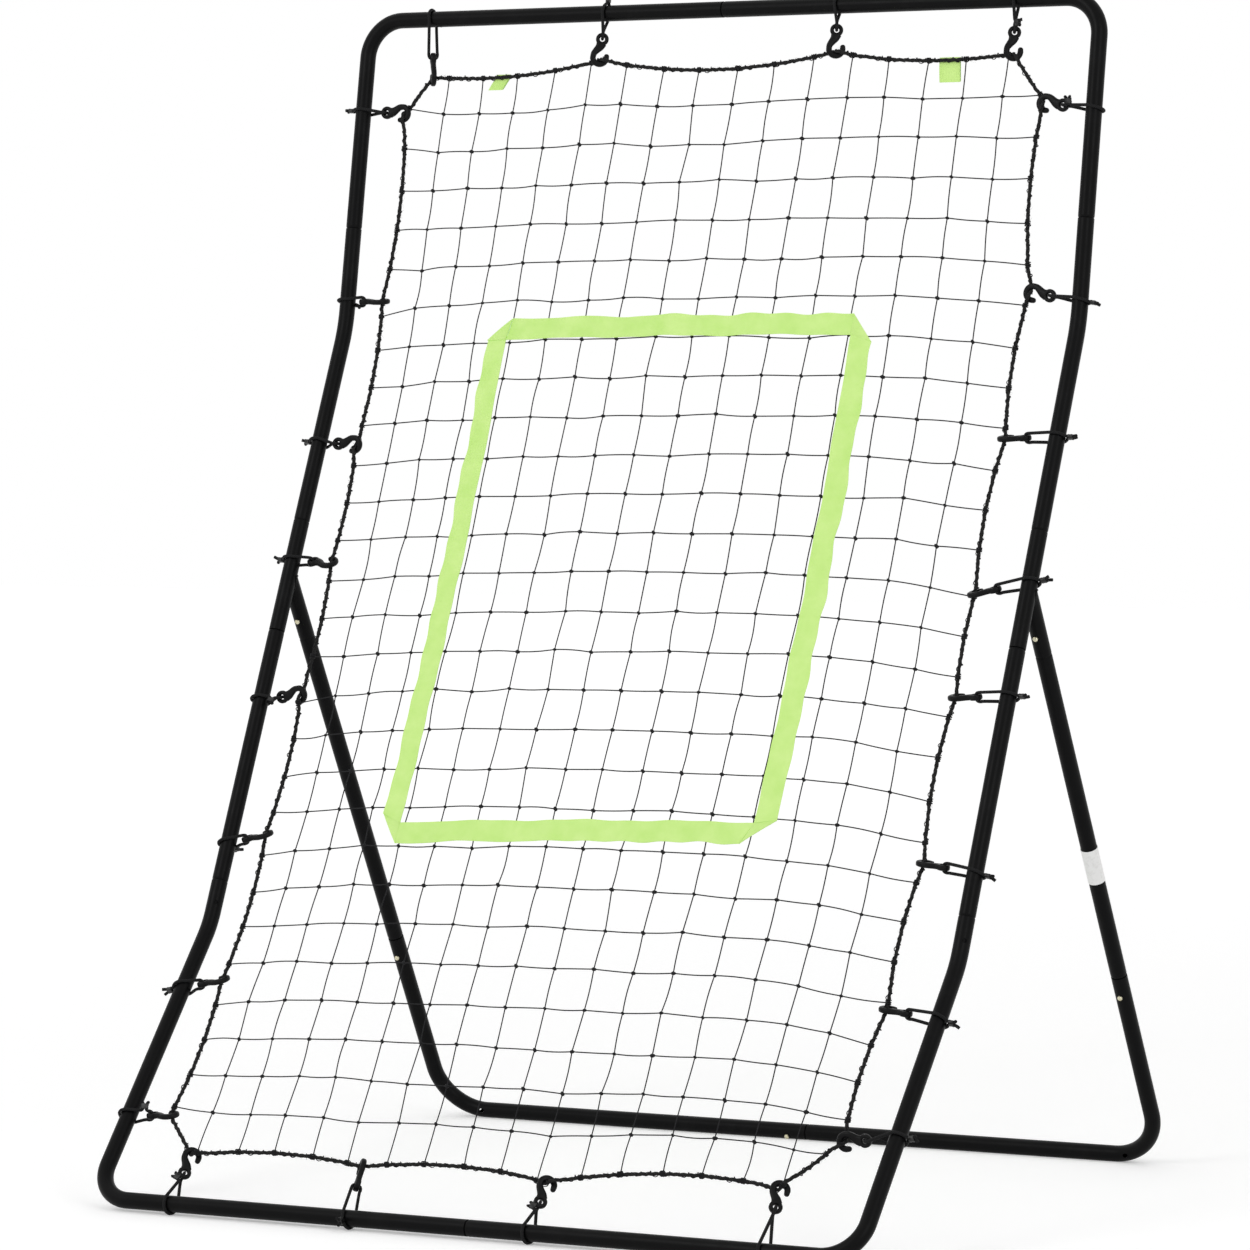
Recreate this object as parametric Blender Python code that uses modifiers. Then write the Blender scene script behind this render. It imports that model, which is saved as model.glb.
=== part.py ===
"""Rebound net: a knotted net hooked into a bent tube frame, held up by a plug-in rear stand.

Units are metres, +Z is up and the front, where the ball comes from, faces -Y.
The origin lies on the floor under the middle of the front bar, which stands on its elastic loops.
"""

import math

import bmesh
import bpy
import numpy as np
from mathutils import Matrix, Vector

# Tube stock and the push fits between tubes
TUBE_DIAMETER = 0.019
TUBE_WALL = 0.001
TUBE_SIDES = 12
FIT_CLEARANCE = 0.0004
SEAM_GAP = 0.0003
SWAGE_LENGTH = 0.035

# Frame, along the rail's axis
FRAME_WIDTH = 0.980
LOWER_LENGTH = 0.377
MIDDLE_LENGTH = 0.761
UPPER_LENGTH = 0.375
LOWER_LEAN = math.radians(41.1)
MIDDLE_LEAN = math.radians(25.1)
UPPER_LEAN = math.radians(11.1)
CORNER_RADIUS = 0.045
STAND_CORNER_RADIUS = 0.060
LOWER_BEND_RADIUS = 0.12
UPPER_BEND_RADIUS = 0.18
CORNER_STEPS = 5
BEND_STEPS = 2
TOP_SEAM_X = 0.0
BOTTOM_SEAM_X = 0.009
UPPER_SEAM_ABOVE_BEND = 0.120
LOWER_SEAM_ABOVE_BEND = 0.054

# Stand
STAND_HEIGHT_ON_RAIL = 0.438
STAND_REACH = 0.3289
SOCKET_LENGTH = 0.140
STUB_LENGTH = 0.082
LEG_SEAM = 0.508
CROSSBAR_SEAM_X = 0.022
CROSSBAR_BUTTON_DROP = math.radians(36.0)

# Snap clips
BUTTON_DIAMETER = 0.006
BUTTON_RISE = 0.0022
BUTTON_FROM_SEAM = 0.025
BUTTON_HOLE_CLEARANCE = 0.0003
CLIP_WIDTH = 0.006
CLIP_THICKNESS = 0.0006
CLIP_LENGTH = 0.034
CLIP_TRAVEL = 0.0037

# Vent holes of the painted tubes
VENT_DIAMETER = 0.005
VENT_TURN = math.radians(38.0)
CORNER_VENT_FROM_CORNER = 0.050

# Blank label on the right leg
LABEL_START = 0.336
LABEL_LENGTH = 0.044
LABEL_THICKNESS = 0.0003

# Net, border rope and target strap
NET_SIDE_GAP = 0.065
NET_BOTTOM = 0.070
NET_TOP = 1.452
NET_COLUMNS = 12
NET_ROWS = 20
NET_CUT_ROWS = (4.5, 15.5)
NET_CUT_GAP = 0.0003
TWINE_DIAMETER = 0.0018
ROPE_DIAMETER = 0.006
CROSS_PULL = 0.446
SIDE_ROPE_PULL = 0.277
END_ROPE_PULL = 0.691
STRAP_WIDTH = 0.025
STRAP_THICKNESS = 0.0008
STRAP_INNER_WIDTH = 0.458
STRAP_INNER_BOTTOM = 0.493
STRAP_INNER_TOP = 1.107
STRAP_BOTTOM_RISE = 0.012
TAB_WIDTH = 0.022
TAB_LENGTH = 0.018
TAB_SHARES = (-0.3576, 0.3553)
TAB_SLANTS = (0.35, 0.0)
TAB_ABOVE_ROPE = 0.001

# Hooks: where each one holds the border rope
HOOK_INSET_LEFT = 0.055
HOOK_INSET_RIGHT = 0.066
HOOK_INSET_TOP = 0.062
HOOK_INSET_BOTTOM = 0.070
LEFT_HOOKS = (0.130, 0.302, 0.487, 0.673, 0.835, 0.987, 1.170, 1.403)
RIGHT_HOOKS = (0.149, 0.311, 0.489, 0.690, 0.820, 0.999, 1.173, 1.395)
TOP_HOOK_SHARES = (-0.4671, -0.1918, 0.1788, 0.4459)
BOTTOM_HOOK_SHARES = (-0.4529, -0.1765, 0.0965, 0.4376)
HOOK_SPAN = 0.0326
HOOK_THICKNESS = 0.0052
HOOK_EYE_WALL = 0.0030
HOOK_JAW_WALL = 0.0036
HOOK_CLEARANCE = 0.0006
ELASTIC_DIAMETER = 0.0032
ELASTIC_CLEARANCE = 0.0004
ELASTIC_SPREAD = 0.0055
ELASTIC_TAIL = 0.008
LOOP_STEP = 60.0
LOOP_LEAVES = 45.0
SIDE_CRIMP_TURN = 180.0
BOTTOM_CRIMP_TURN = 90.0 + math.degrees(LOWER_LEAN)
CRIMP_LENGTH = 0.005
CRIMP_WIDTH = 0.0080
CRIMP_DEPTH = 0.0044

# Values that follow from the ones above
TUBE_RADIUS = TUBE_DIAMETER / 2
BORE_RADIUS = TUBE_RADIUS - TUBE_WALL
SWAGE_RADIUS = BORE_RADIUS - FIT_CLEARANCE
SWAGE_BORE_RADIUS = SWAGE_RADIUS - TUBE_WALL
HALF_FACET = math.pi / TUBE_SIDES
FLAT_RADIUS = TUBE_RADIUS * math.cos(HALF_FACET)
CORD_FLAT = ELASTIC_DIAMETER / 2 * math.cos(math.radians(45)) * math.cos(math.radians(LOOP_STEP / 2))
FRONT_BAR_HEIGHT = TUBE_RADIUS + ELASTIC_CLEARANCE + ELASTIC_DIAMETER / 2 + CORD_FLAT
HALF_WIDTH = FRAME_WIDTH / 2
NET_WIDTH = FRAME_WIDTH - 2 * NET_SIDE_GAP
TAB_CENTRES_X = tuple(NET_WIDTH * share for share in TAB_SHARES)
TOP_HOOKS = tuple(NET_WIDTH * share for share in TOP_HOOK_SHARES)
BOTTOM_HOOKS = tuple(NET_WIDTH * share for share in BOTTOM_HOOK_SHARES)
LOWER_BEND = LOWER_LENGTH
UPPER_BEND = LOWER_LENGTH + MIDDLE_LENGTH
RAIL_LENGTH = LOWER_LENGTH + MIDDLE_LENGTH + UPPER_LENGTH
RAIL_PARTS = (
    (LOWER_LENGTH, LOWER_LEAN),
    (MIDDLE_LENGTH, MIDDLE_LEAN),
    (UPPER_LENGTH, UPPER_LEAN),
)
STAND_ON_RAIL = LOWER_BEND + STAND_HEIGHT_ON_RAIL
SOCKET_BOTTOM = STAND_ON_RAIL - SOCKET_LENGTH / 2
SOCKET_TOP = STAND_ON_RAIL + SOCKET_LENGTH / 2
SIDES = (("left", -1.0), ("right", 1.0))

COLLECTION_NAME = "rebound_net"
CUTTER_COLLECTION_NAME = "cutters"


# Scene and materials

def clear_scene():
    for item in list(bpy.data.objects):
        bpy.data.objects.remove(item, do_unlink=True)


def make_collection(name):
    collection = bpy.data.collections.get(name) or bpy.data.collections.new(name)
    if collection.name not in bpy.context.scene.collection.children:
        bpy.context.scene.collection.children.link(collection)
    return collection


def make_material(name, colour, roughness, metallic):
    material = bpy.data.materials.new(name)
    material.use_nodes = True
    shader = material.node_tree.nodes["Principled BSDF"]
    shader.inputs["Base Color"].default_value = (*colour, 1.0)
    shader.inputs["Roughness"].default_value = roughness
    shader.inputs["Metallic"].default_value = metallic
    return material


def add_object(name, mesh, collection_name=COLLECTION_NAME, material=None):
    item = bpy.data.objects.new(name, mesh)
    bpy.data.collections[collection_name].objects.link(item)
    if material is not None:
        mesh.materials.clear()
        mesh.materials.append(material)
    return item


def baked_mesh(item, name):
    """Evaluated mesh of an object in world space; the object is removed."""
    bpy.context.view_layer.update()
    evaluated = item.evaluated_get(bpy.context.evaluated_depsgraph_get())
    mesh = bpy.data.meshes.new_from_object(evaluated)
    mesh.transform(item.matrix_world)
    mesh.name = name
    bpy.data.objects.remove(item, do_unlink=True)
    return mesh


def shade_round(mesh, angle=math.radians(35)):
    mesh.shade_smooth()
    mesh.set_sharp_from_angle(angle=angle)


# Curves and tubes

def poly_curve(name, points, radius, resolution, scales=None, cyclic=False, caps=True):
    curve = bpy.data.curves.new(name, "CURVE")
    curve.dimensions = "3D"
    curve.twist_mode = "Z_UP"
    curve.bevel_depth = radius
    curve.bevel_resolution = resolution
    curve.use_fill_caps = caps and not cyclic
    spline = curve.splines.new("POLY")
    spline.points.add(len(points) - 1)
    for index, point in enumerate(points):
        spline.points[index].co = (*point, 1.0)
        spline.points[index].radius = 1.0 if scales is None else scales[index]
    spline.use_cyclic_u = cyclic
    return curve


def welded_curve_mesh(name, curve):
    """Mesh of a bevelled curve, with any caps joined to its side."""
    item = add_object(name + "_curve", curve, CUTTER_COLLECTION_NAME)
    mesh = baked_mesh(item, name)
    work = bmesh.new()
    work.from_mesh(mesh)
    bmesh.ops.remove_doubles(work, verts=work.verts, dist=0.00001)
    bmesh.ops.recalc_face_normals(work, faces=work.faces)
    work.to_mesh(mesh)
    work.free()
    return mesh


def rounded_path(corners, radii, steps):
    """Polyline through the corners, with an arc of the given radius at each inner corner."""
    path = [Vector(corners[0])]
    for index in range(1, len(corners) - 1):
        before, corner, after = (Vector(corners[index + shift]) for shift in (-1, 0, 1))
        to_before = (before - corner).normalized()
        to_after = (after - corner).normalized()
        half = to_before.angle(to_after) / 2
        radius = radii[index - 1]
        centre = corner + (to_before + to_after).normalized() * (radius / math.sin(half))
        start = corner + to_before * (radius / math.tan(half))
        axis = (start - centre).cross(corner - centre).normalized()
        sweep = math.pi - 2 * half
        for step in range(steps[index - 1] + 1):
            turn = Matrix.Rotation(sweep * step / steps[index - 1], 3, axis)
            path.append(centre + turn @ (start - centre))
    path.append(Vector(corners[-1]))
    return path


def hollow_tube(name, path, material, swage_start=False, swage_end=False):
    """Hollow tube along a path; a swaged end is drawn in and runs on past the path's end."""
    points = list(path)
    scales = [1.0] * len(points)
    narrow = SWAGE_RADIUS / TUBE_RADIUS
    if swage_end:
        along = (points[-1] - points[-2]).normalized()
        points += [points[-1] + along * SEAM_GAP, points[-1] + along * SWAGE_LENGTH]
        scales += [narrow, narrow]
    if swage_start:
        along = (points[0] - points[1]).normalized()
        points = [points[0] + along * SWAGE_LENGTH, points[0] + along * SEAM_GAP] + points
        scales = [narrow, narrow] + scales
    curve = poly_curve(name, points, TUBE_RADIUS, (TUBE_SIDES - 4) // 2, scales, caps=False)
    for point in curve.splines[0].points:
        point.tilt = HALF_FACET
    mesh = welded_curve_mesh(name, curve)
    item = add_object(name, mesh, material=material)
    shell = item.modifiers.new("wall", "SOLIDIFY")
    shell.thickness = TUBE_WALL
    shell.offset = -1.0
    shell.use_even_offset = True
    solid = baked_mesh(item, name)
    shade_round(solid)
    return add_object(name, solid, material=material)


def cylinder_between(name, start, end, radius, sides=TUBE_SIDES, collection_name=CUTTER_COLLECTION_NAME):
    """Closed cylinder from start to end, with a flat side facing down or up where it lies level."""
    start, end = Vector(start), Vector(end)
    along = end - start
    bpy.ops.mesh.primitive_cylinder_add(vertices=sides, radius=radius, depth=along.length)
    item = bpy.context.active_object
    mesh = item.data
    bpy.data.objects.remove(item, do_unlink=True)
    mesh.name = name
    turn = along.to_track_quat("Z", "Y").to_matrix().to_4x4()
    mesh.transform(Matrix.Translation((start + end) / 2) @ turn @ Matrix.Rotation(math.pi / sides, 4, "Z"))
    shade_round(mesh)
    item = add_object(name, mesh, collection_name)
    if collection_name == CUTTER_COLLECTION_NAME:
        item.hide_render = True
        item.display_type = "WIRE"
    return item


def make_box(name, size, collection_name=COLLECTION_NAME):
    """Closed box about the origin."""
    bpy.ops.mesh.primitive_cube_add(size=1.0)
    item = bpy.context.active_object
    mesh = item.data
    bpy.data.objects.remove(item, do_unlink=True)
    mesh.transform(Matrix.Diagonal((*size, 1.0)))
    mesh.name = name
    return add_object(name, mesh, collection_name)


def apply_boolean(item, other, operation):
    """Boolean with another object, which is removed afterwards."""
    modifier = item.modifiers.new("boolean", "BOOLEAN")
    modifier.operation = operation
    modifier.object = other
    modifier.solver = "EXACT"
    name, materials = item.name, list(item.data.materials)
    mesh = baked_mesh(item, name)
    bpy.data.objects.remove(other, do_unlink=True)
    mesh.materials.clear()
    for material in materials:
        mesh.materials.append(material)
    shade_round(mesh)
    result = bpy.data.objects.new(name, mesh)
    bpy.data.collections[COLLECTION_NAME].objects.link(result)
    return result


def drill(item, centre, direction, diameter, depth, both_ways=False):
    """Round hole from the axis outwards, or right through."""
    centre, direction = Vector(centre), Vector(direction).normalized()
    start = centre - direction * depth if both_ways else centre
    cutter = cylinder_between("drill", start, centre + direction * depth, diameter / 2, sides=8)
    return apply_boolean(item, cutter, "DIFFERENCE")


# Side rail and stand lines

def rail_point(distance, x=0.0):
    """Point on the side rail's straight sections at a distance from the floor bar's axis."""
    y, z = 0.0, FRONT_BAR_HEIGHT
    left = distance
    for index, (length, lean) in enumerate(RAIL_PARTS):
        step = left if index == len(RAIL_PARTS) - 1 else min(left, length)
        y += step * math.sin(lean)
        z += step * math.cos(lean)
        left -= step
        if left <= 0:
            break
    return Vector((x, y, z))


def rail_direction(distance):
    """Unit vector up the rail at a distance from the floor bar."""
    reached = 0.0
    for length, lean in RAIL_PARTS:
        reached += length
        if distance <= reached:
            return Vector((0.0, math.sin(lean), math.cos(lean)))
    return Vector((0.0, math.sin(RAIL_PARTS[-1][1]), math.cos(RAIL_PARTS[-1][1])))


LEG_TOP = rail_point(STAND_ON_RAIL)
LEG_DROP = LEG_TOP.z - FLAT_RADIUS
LEG_LENGTH = math.hypot(STAND_REACH, LEG_DROP)
LEG_DIRECTION = Vector((0.0, STAND_REACH, -LEG_DROP)) / LEG_LENGTH
LEG_FRONT = Vector((0.0, -LEG_DROP, -STAND_REACH)) / LEG_LENGTH
CROSSBAR_FRONT = Vector((0.0, -math.cos(CROSSBAR_BUTTON_DROP), -math.sin(CROSSBAR_BUTTON_DROP)))


def leg_point(distance, x=0.0):
    """Point on a leg's axis at a distance from the rail's axis."""
    point = LEG_TOP + LEG_DIRECTION * distance
    return Vector((x, point.y, point.z))


def short_of(point, direction):
    """Point moved back by half the seam gap against a direction."""
    return Vector(point) - Vector(direction) * (SEAM_GAP / 2)


# Frame

def make_top_corner(name, side, material):
    x = side * HALF_WIDTH
    seam = UPPER_BEND + UPPER_SEAM_ABOVE_BEND
    start = rail_point(RAIL_LENGTH, TOP_SEAM_X + side * SEAM_GAP / 2)
    end = rail_point(seam, x) + rail_direction(seam) * (SEAM_GAP / 2)
    path = rounded_path((start, rail_point(RAIL_LENGTH, x), end), (CORNER_RADIUS,), (CORNER_STEPS,))
    return hollow_tube(name, path, material, swage_start=side > 0, swage_end=True)


def make_upper_side(name, side, material):
    x = side * HALF_WIDTH
    seam = UPPER_BEND + UPPER_SEAM_ABOVE_BEND
    start = short_of(rail_point(seam, x), rail_direction(seam))
    end = rail_point(SOCKET_TOP, x) + rail_direction(SOCKET_TOP) * (SEAM_GAP / 2)
    path = rounded_path((start, rail_point(UPPER_BEND, x), end), (UPPER_BEND_RADIUS,), (BEND_STEPS,))
    return hollow_tube(name, path, material, swage_end=True)


def make_lower_side(name, side, material):
    x = side * HALF_WIDTH
    seam = LOWER_BEND + LOWER_SEAM_ABOVE_BEND
    start = short_of(rail_point(SOCKET_BOTTOM, x), rail_direction(SOCKET_BOTTOM))
    end = rail_point(seam, x) + rail_direction(seam) * (SEAM_GAP / 2)
    return hollow_tube(name, [start, end], material, swage_start=True, swage_end=True)


def make_bottom_corner(name, side, material):
    x = side * HALF_WIDTH
    seam = LOWER_BEND + LOWER_SEAM_ABOVE_BEND
    start = rail_point(0.0, BOTTOM_SEAM_X + side * SEAM_GAP / 2)
    end = short_of(rail_point(seam, x), rail_direction(seam))
    path = rounded_path(
        (start, rail_point(0.0, x), rail_point(LOWER_BEND, x), end),
        (CORNER_RADIUS, LOWER_BEND_RADIUS), (CORNER_STEPS, BEND_STEPS))
    item = hollow_tube(name, path, material, swage_start=side > 0)
    vent_direction = Vector((math.sin(VENT_TURN), -math.cos(VENT_TURN), 0.0))
    vent_centre = rail_point(seam - BUTTON_FROM_SEAM, x)
    return drill(item, vent_centre, vent_direction, VENT_DIAMETER, TUBE_DIAMETER, both_ways=True)


def make_stand_socket(name, side, material):
    """Rail tube with the leg's stub welded to its back; all three ends take a swaged tube."""
    x = side * HALF_WIDTH
    up = rail_direction(STAND_ON_RAIL)
    bottom = rail_point(SOCKET_BOTTOM, x) + up * (SEAM_GAP / 2)
    top = rail_point(SOCKET_TOP, x) - up * (SEAM_GAP / 2)
    stub_end = leg_point(STUB_LENGTH - SEAM_GAP / 2, x)
    angle = up.angle(-LEG_DIRECTION)
    bore_start = (TUBE_RADIUS + BORE_RADIUS * math.cos(angle)) / math.sin(angle) + TUBE_WALL / 2
    item = cylinder_between(name, bottom, top, TUBE_RADIUS, collection_name=COLLECTION_NAME)
    item.data.materials.append(material)
    stub = cylinder_between(name + "_stub", leg_point(0.0, x), stub_end, TUBE_RADIUS)
    item = apply_boolean(item, stub, "UNION")
    rail_bore = cylinder_between(
        name + "_rail_bore", bottom - up * TUBE_WALL, top + up * TUBE_WALL, BORE_RADIUS)
    item = apply_boolean(item, rail_bore, "DIFFERENCE")
    stub_bore = cylinder_between(
        name + "_stub_bore", leg_point(bore_start, x), leg_point(STUB_LENGTH + TUBE_WALL, x), BORE_RADIUS)
    item = apply_boolean(item, stub_bore, "DIFFERENCE")
    hole = BUTTON_DIAMETER + 2 * BUTTON_HOLE_CLEARANCE
    return drill(item, leg_point(STUB_LENGTH - BUTTON_FROM_SEAM, x), LEG_FRONT, hole, TUBE_DIAMETER)


# Stand

def make_upper_leg(name, side, material):
    x = side * HALF_WIDTH
    start = leg_point(STUB_LENGTH + SEAM_GAP / 2, x)
    end = leg_point(LEG_SEAM - SEAM_GAP / 2, x)
    item = hollow_tube(name, [start, end], material, swage_start=True, swage_end=True)
    hole = BUTTON_DIAMETER + 2 * BUTTON_HOLE_CLEARANCE
    for distance in (STUB_LENGTH - BUTTON_FROM_SEAM, LEG_SEAM + BUTTON_FROM_SEAM):
        item = drill(item, leg_point(distance, x), LEG_FRONT, hole, TUBE_DIAMETER)
    return item


def make_lower_leg(name, side, material):
    """Lower leg with the floor corner and its half of the crossbar."""
    x = side * HALF_WIDTH
    start = leg_point(LEG_SEAM + SEAM_GAP / 2, x)
    end = leg_point(LEG_LENGTH, CROSSBAR_SEAM_X + side * SEAM_GAP / 2)
    path = rounded_path((start, leg_point(LEG_LENGTH, x), end), (STAND_CORNER_RADIUS,), (CORNER_STEPS,))
    item = hollow_tube(name, path, material, swage_end=side > 0)
    hole = BUTTON_DIAMETER + 2 * BUTTON_HOLE_CLEARANCE
    item = drill(item, leg_point(LEG_SEAM + BUTTON_FROM_SEAM, x), LEG_FRONT, hole, TUBE_DIAMETER)
    button = leg_point(LEG_LENGTH, CROSSBAR_SEAM_X - BUTTON_FROM_SEAM)
    item = drill(item, button, CROSSBAR_FRONT, hole, TUBE_DIAMETER)
    vent = leg_point(LEG_LENGTH, side * (HALF_WIDTH - CORNER_VENT_FROM_CORNER))
    vent_direction = Vector((math.sin(VENT_TURN), -math.cos(VENT_TURN), 0.0))
    return drill(item, vent, vent_direction, VENT_DIAMETER, TUBE_DIAMETER, both_ways=True)


def make_label(name, material):
    inner = TUBE_RADIUS + SEAM_GAP
    start = leg_point(LABEL_START, HALF_WIDTH)
    end = leg_point(LABEL_START + LABEL_LENGTH, HALF_WIDTH)
    item = cylinder_between(name, start, end, inner + LABEL_THICKNESS, collection_name=COLLECTION_NAME)
    item.data.materials.append(material)
    bore = cylinder_between(
        name + "_bore", start - LEG_DIRECTION * TUBE_WALL, end + LEG_DIRECTION * TUBE_WALL, inner)
    return apply_boolean(item, bore, "DIFFERENCE")


# Snap clips

def clip_profile():
    """Middle line of the bent spring strip: along the tube, and out from its axis."""
    edge = math.sqrt((SWAGE_BORE_RADIUS * math.cos(HALF_FACET) - SEAM_GAP) ** 2 - (CLIP_WIDTH / 2) ** 2)
    near = edge - CLIP_THICKNESS / 2
    far = near - CLIP_TRAVEL
    reach = BUTTON_DIAMETER / 2 + 2 * CLIP_THICKNESS
    bend = CLIP_LENGTH - reach
    return near, ((reach, near), (-reach, near), (-bend, 0.9 * CLIP_TRAVEL), (-bend - 0.002, 0.0),
                  (-bend, -CLIP_TRAVEL / 4), (-reach, -far), (reach, -far))


def make_snap_clip(name, centre, outward, to_open_end, material):
    """Spring strip bent to a V with a domed button; it slides inwards along the button's axis."""
    near, profile = clip_profile()
    work = bmesh.new()
    rows = []
    for along, out in profile:
        rows.append([work.verts.new((along, side * CLIP_WIDTH / 2, out)) for side in (-1, 1)])
    for first, second in zip(rows, rows[1:]):
        work.faces.new((first[0], second[0], second[1], first[1]))
    bmesh.ops.recalc_face_normals(work, faces=work.faces)
    mesh = bpy.data.meshes.new(name + "_strip")
    work.to_mesh(mesh)
    work.free()
    strip = add_object(name + "_strip", mesh, CUTTER_COLLECTION_NAME)
    shell = strip.modifiers.new("thickness", "SOLIDIFY")
    shell.thickness = CLIP_THICKNESS
    shell.offset = 0.0
    shell.use_even_offset = True
    strip_mesh = baked_mesh(strip, name + "_strip")
    strip = add_object(name + "_strip", strip_mesh, CUTTER_COLLECTION_NAME)

    top = TUBE_RADIUS + BUTTON_RISE
    radius = BUTTON_DIAMETER / 2
    profile_work = bmesh.new()
    outline = ((0.0, top), (0.45 * radius, top - 0.04 * radius), (0.8 * radius, top - 0.22 * radius),
               (radius, top - 0.5 * radius), (radius, near), (0.0, near))
    points = [profile_work.verts.new((x, 0.0, z)) for x, z in outline]
    for first, second in zip(points, points[1:]):
        profile_work.edges.new((first, second))
    button_mesh = bpy.data.meshes.new(name)
    profile_work.to_mesh(button_mesh)
    profile_work.free()
    button = add_object(name, button_mesh, material=material)
    screw = button.modifiers.new("turn", "SCREW")
    screw.steps = 8
    screw.render_steps = 8
    screw.use_merge_vertices = True
    screw.merge_threshold = 0.00001
    turned = baked_mesh(button, name)
    work = bmesh.new()
    work.from_mesh(turned)
    bmesh.ops.remove_doubles(work, verts=work.verts, dist=0.000005)
    bmesh.ops.recalc_face_normals(work, faces=work.faces)
    work.to_mesh(turned)
    work.free()
    item = add_object(name, turned, material=material)
    item = apply_boolean(item, strip, "UNION")

    outward = Vector(outward).normalized()
    along = Vector(to_open_end).normalized()
    across = outward.cross(along)
    place = Matrix((along, across, outward)).transposed().to_4x4()
    place.translation = Vector(centre)
    item.matrix_world = place
    return item


# Net: tension shape between the hooks

def net_point(x, distance):
    """Point of the plane through the two side rails."""
    return np.array(rail_point(distance, x))


def anchor_list():
    """Points where hooks hold the rope, with the rail point behind each and the rope's direction."""
    anchors = []
    for name, side, inset, distances in (("left", -1.0, HOOK_INSET_LEFT, LEFT_HOOKS),
                                         ("right", 1.0, HOOK_INSET_RIGHT, RIGHT_HOOKS)):
        for distance in distances:
            tube = rail_point(distance, side * HALF_WIDTH)
            hold = rail_point(distance, side * (HALF_WIDTH - inset))
            anchors.append((name, hold, tube, rail_direction(distance)))
    for x in TOP_HOOKS:
        hold = rail_point(RAIL_LENGTH - HOOK_INSET_TOP, x)
        anchors.append(("top", hold, rail_point(RAIL_LENGTH, x), Vector((1.0, 0.0, 0.0))))
    for x in BOTTOM_HOOKS:
        hold = rail_point(HOOK_INSET_BOTTOM, x)
        anchors.append(("bottom", hold, rail_point(0.0, x), Vector((1.0, 0.0, 0.0))))
    return anchors


def border_order(columns, rows):
    """Grid indices of the border, once round, counter-clockwise seen from the front."""
    bottom = [(0, column) for column in range(columns + 1)]
    right = [(row, columns) for row in range(1, rows + 1)]
    top = [(rows, column) for column in range(columns - 1, -1, -1)]
    left = [(row, 0) for row in range(rows - 1, 0, -1)]
    return bottom + right + top + left


def flat_position(row, column, columns, rows):
    x = -NET_WIDTH / 2 + NET_WIDTH * column / columns
    return x, NET_BOTTOM + (NET_TOP - NET_BOTTOM) * row / rows


def edge_of(group):
    """Edge of the flat net that a group of hooks holds: its x or its rail distance."""
    return {"left": (-NET_WIDTH / 2, None), "right": (NET_WIDTH / 2, None),
            "top": (None, NET_TOP), "bottom": (None, NET_BOTTOM)}[group]


def relaxed_net(columns, rows):
    """Balance of forces between the net's lines, the border rope and the hooks.

    Each free point rests where the pulls of its neighbours, in proportion to their distance,
    cancel out. The hooks are fixed, so the rest is one linear system.
    """
    anchors = anchor_list()
    keyed = []
    for row, column in border_order(columns, rows):
        x, distance = flat_position(row, column, columns, rows)
        keyed.append((("grid", row, column), x, distance))
    chain = []
    for index, (key, x, distance) in enumerate(keyed):
        chain.append(key)
        next_x, next_distance = keyed[(index + 1) % len(keyed)][1:]
        between = []
        for number, (group, hold, tube, along) in enumerate(anchors):
            edge_x, edge_distance = edge_of(group)
            lengthwise = edge_x is not None
            if lengthwise and (abs(x - edge_x) > 1e-6 or abs(next_x - edge_x) > 1e-6):
                continue
            if not lengthwise and (abs(distance - edge_distance) > 1e-6
                                   or abs(next_distance - edge_distance) > 1e-6):
                continue
            place = ANCHOR_PLACES[number]
            first, last = (distance, next_distance) if lengthwise else (x, next_x)
            share = (place - first) / (last - first)
            if 0.0 <= share < 1.0:
                between.append((share, ("anchor", number)))
        chain += [entry[1] for entry in sorted(between)]
    count = (rows + 1) * (columns + 1)
    matrix = np.zeros((count, count))
    force = np.zeros((count, 3))

    def number_of(key):
        return key[1] * (columns + 1) + key[2]

    def connect(first, second, pull):
        for one, other in ((first, second), (second, first)):
            if one[0] == "anchor":
                continue
            here = number_of(one)
            matrix[here, here] += pull
            if other[0] == "anchor":
                force[here] += pull * np.array(anchors[other[1]][1])
            else:
                matrix[here, number_of(other)] -= pull

    for row in range(rows + 1):
        for column in range(columns + 1):
            if column < columns and 0 < row < rows:
                connect(("grid", row, column), ("grid", row, column + 1), CROSS_PULL)
            if row < rows and 0 < column < columns:
                connect(("grid", row, column), ("grid", row + 1, column), 1.0)
    places = {key: net_point(x, distance) for key, x, distance in keyed}

    def on_end(key):
        if key[0] == "grid":
            return key[1] in (0, rows)
        return key[1] >= len(LEFT_HOOKS) + len(RIGHT_HOOKS)

    for index, key in enumerate(chain):
        following = chain[(index + 1) % len(chain)]
        ends = []
        for one in (key, following):
            ends.append(np.array(anchors[one[1]][1]) if one[0] == "anchor" else places[one])
        length = max(np.linalg.norm(ends[1] - ends[0]), 0.1 * NET_WIDTH / columns)
        pull = END_ROPE_PULL if on_end(key) and on_end(following) else SIDE_ROPE_PULL
        connect(key, following, pull / length)
    solved = np.linalg.solve(matrix, force).reshape(rows + 1, columns + 1, 3)
    route = []
    for key in chain:
        route.append(("anchor", key[1]) if key[0] == "anchor" else ("grid", solved[key[1], key[2]]))
    return solved, route, anchors


ANCHOR_PLACES = LEFT_HOOKS + RIGHT_HOOKS + TOP_HOOKS + BOTTOM_HOOKS


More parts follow.
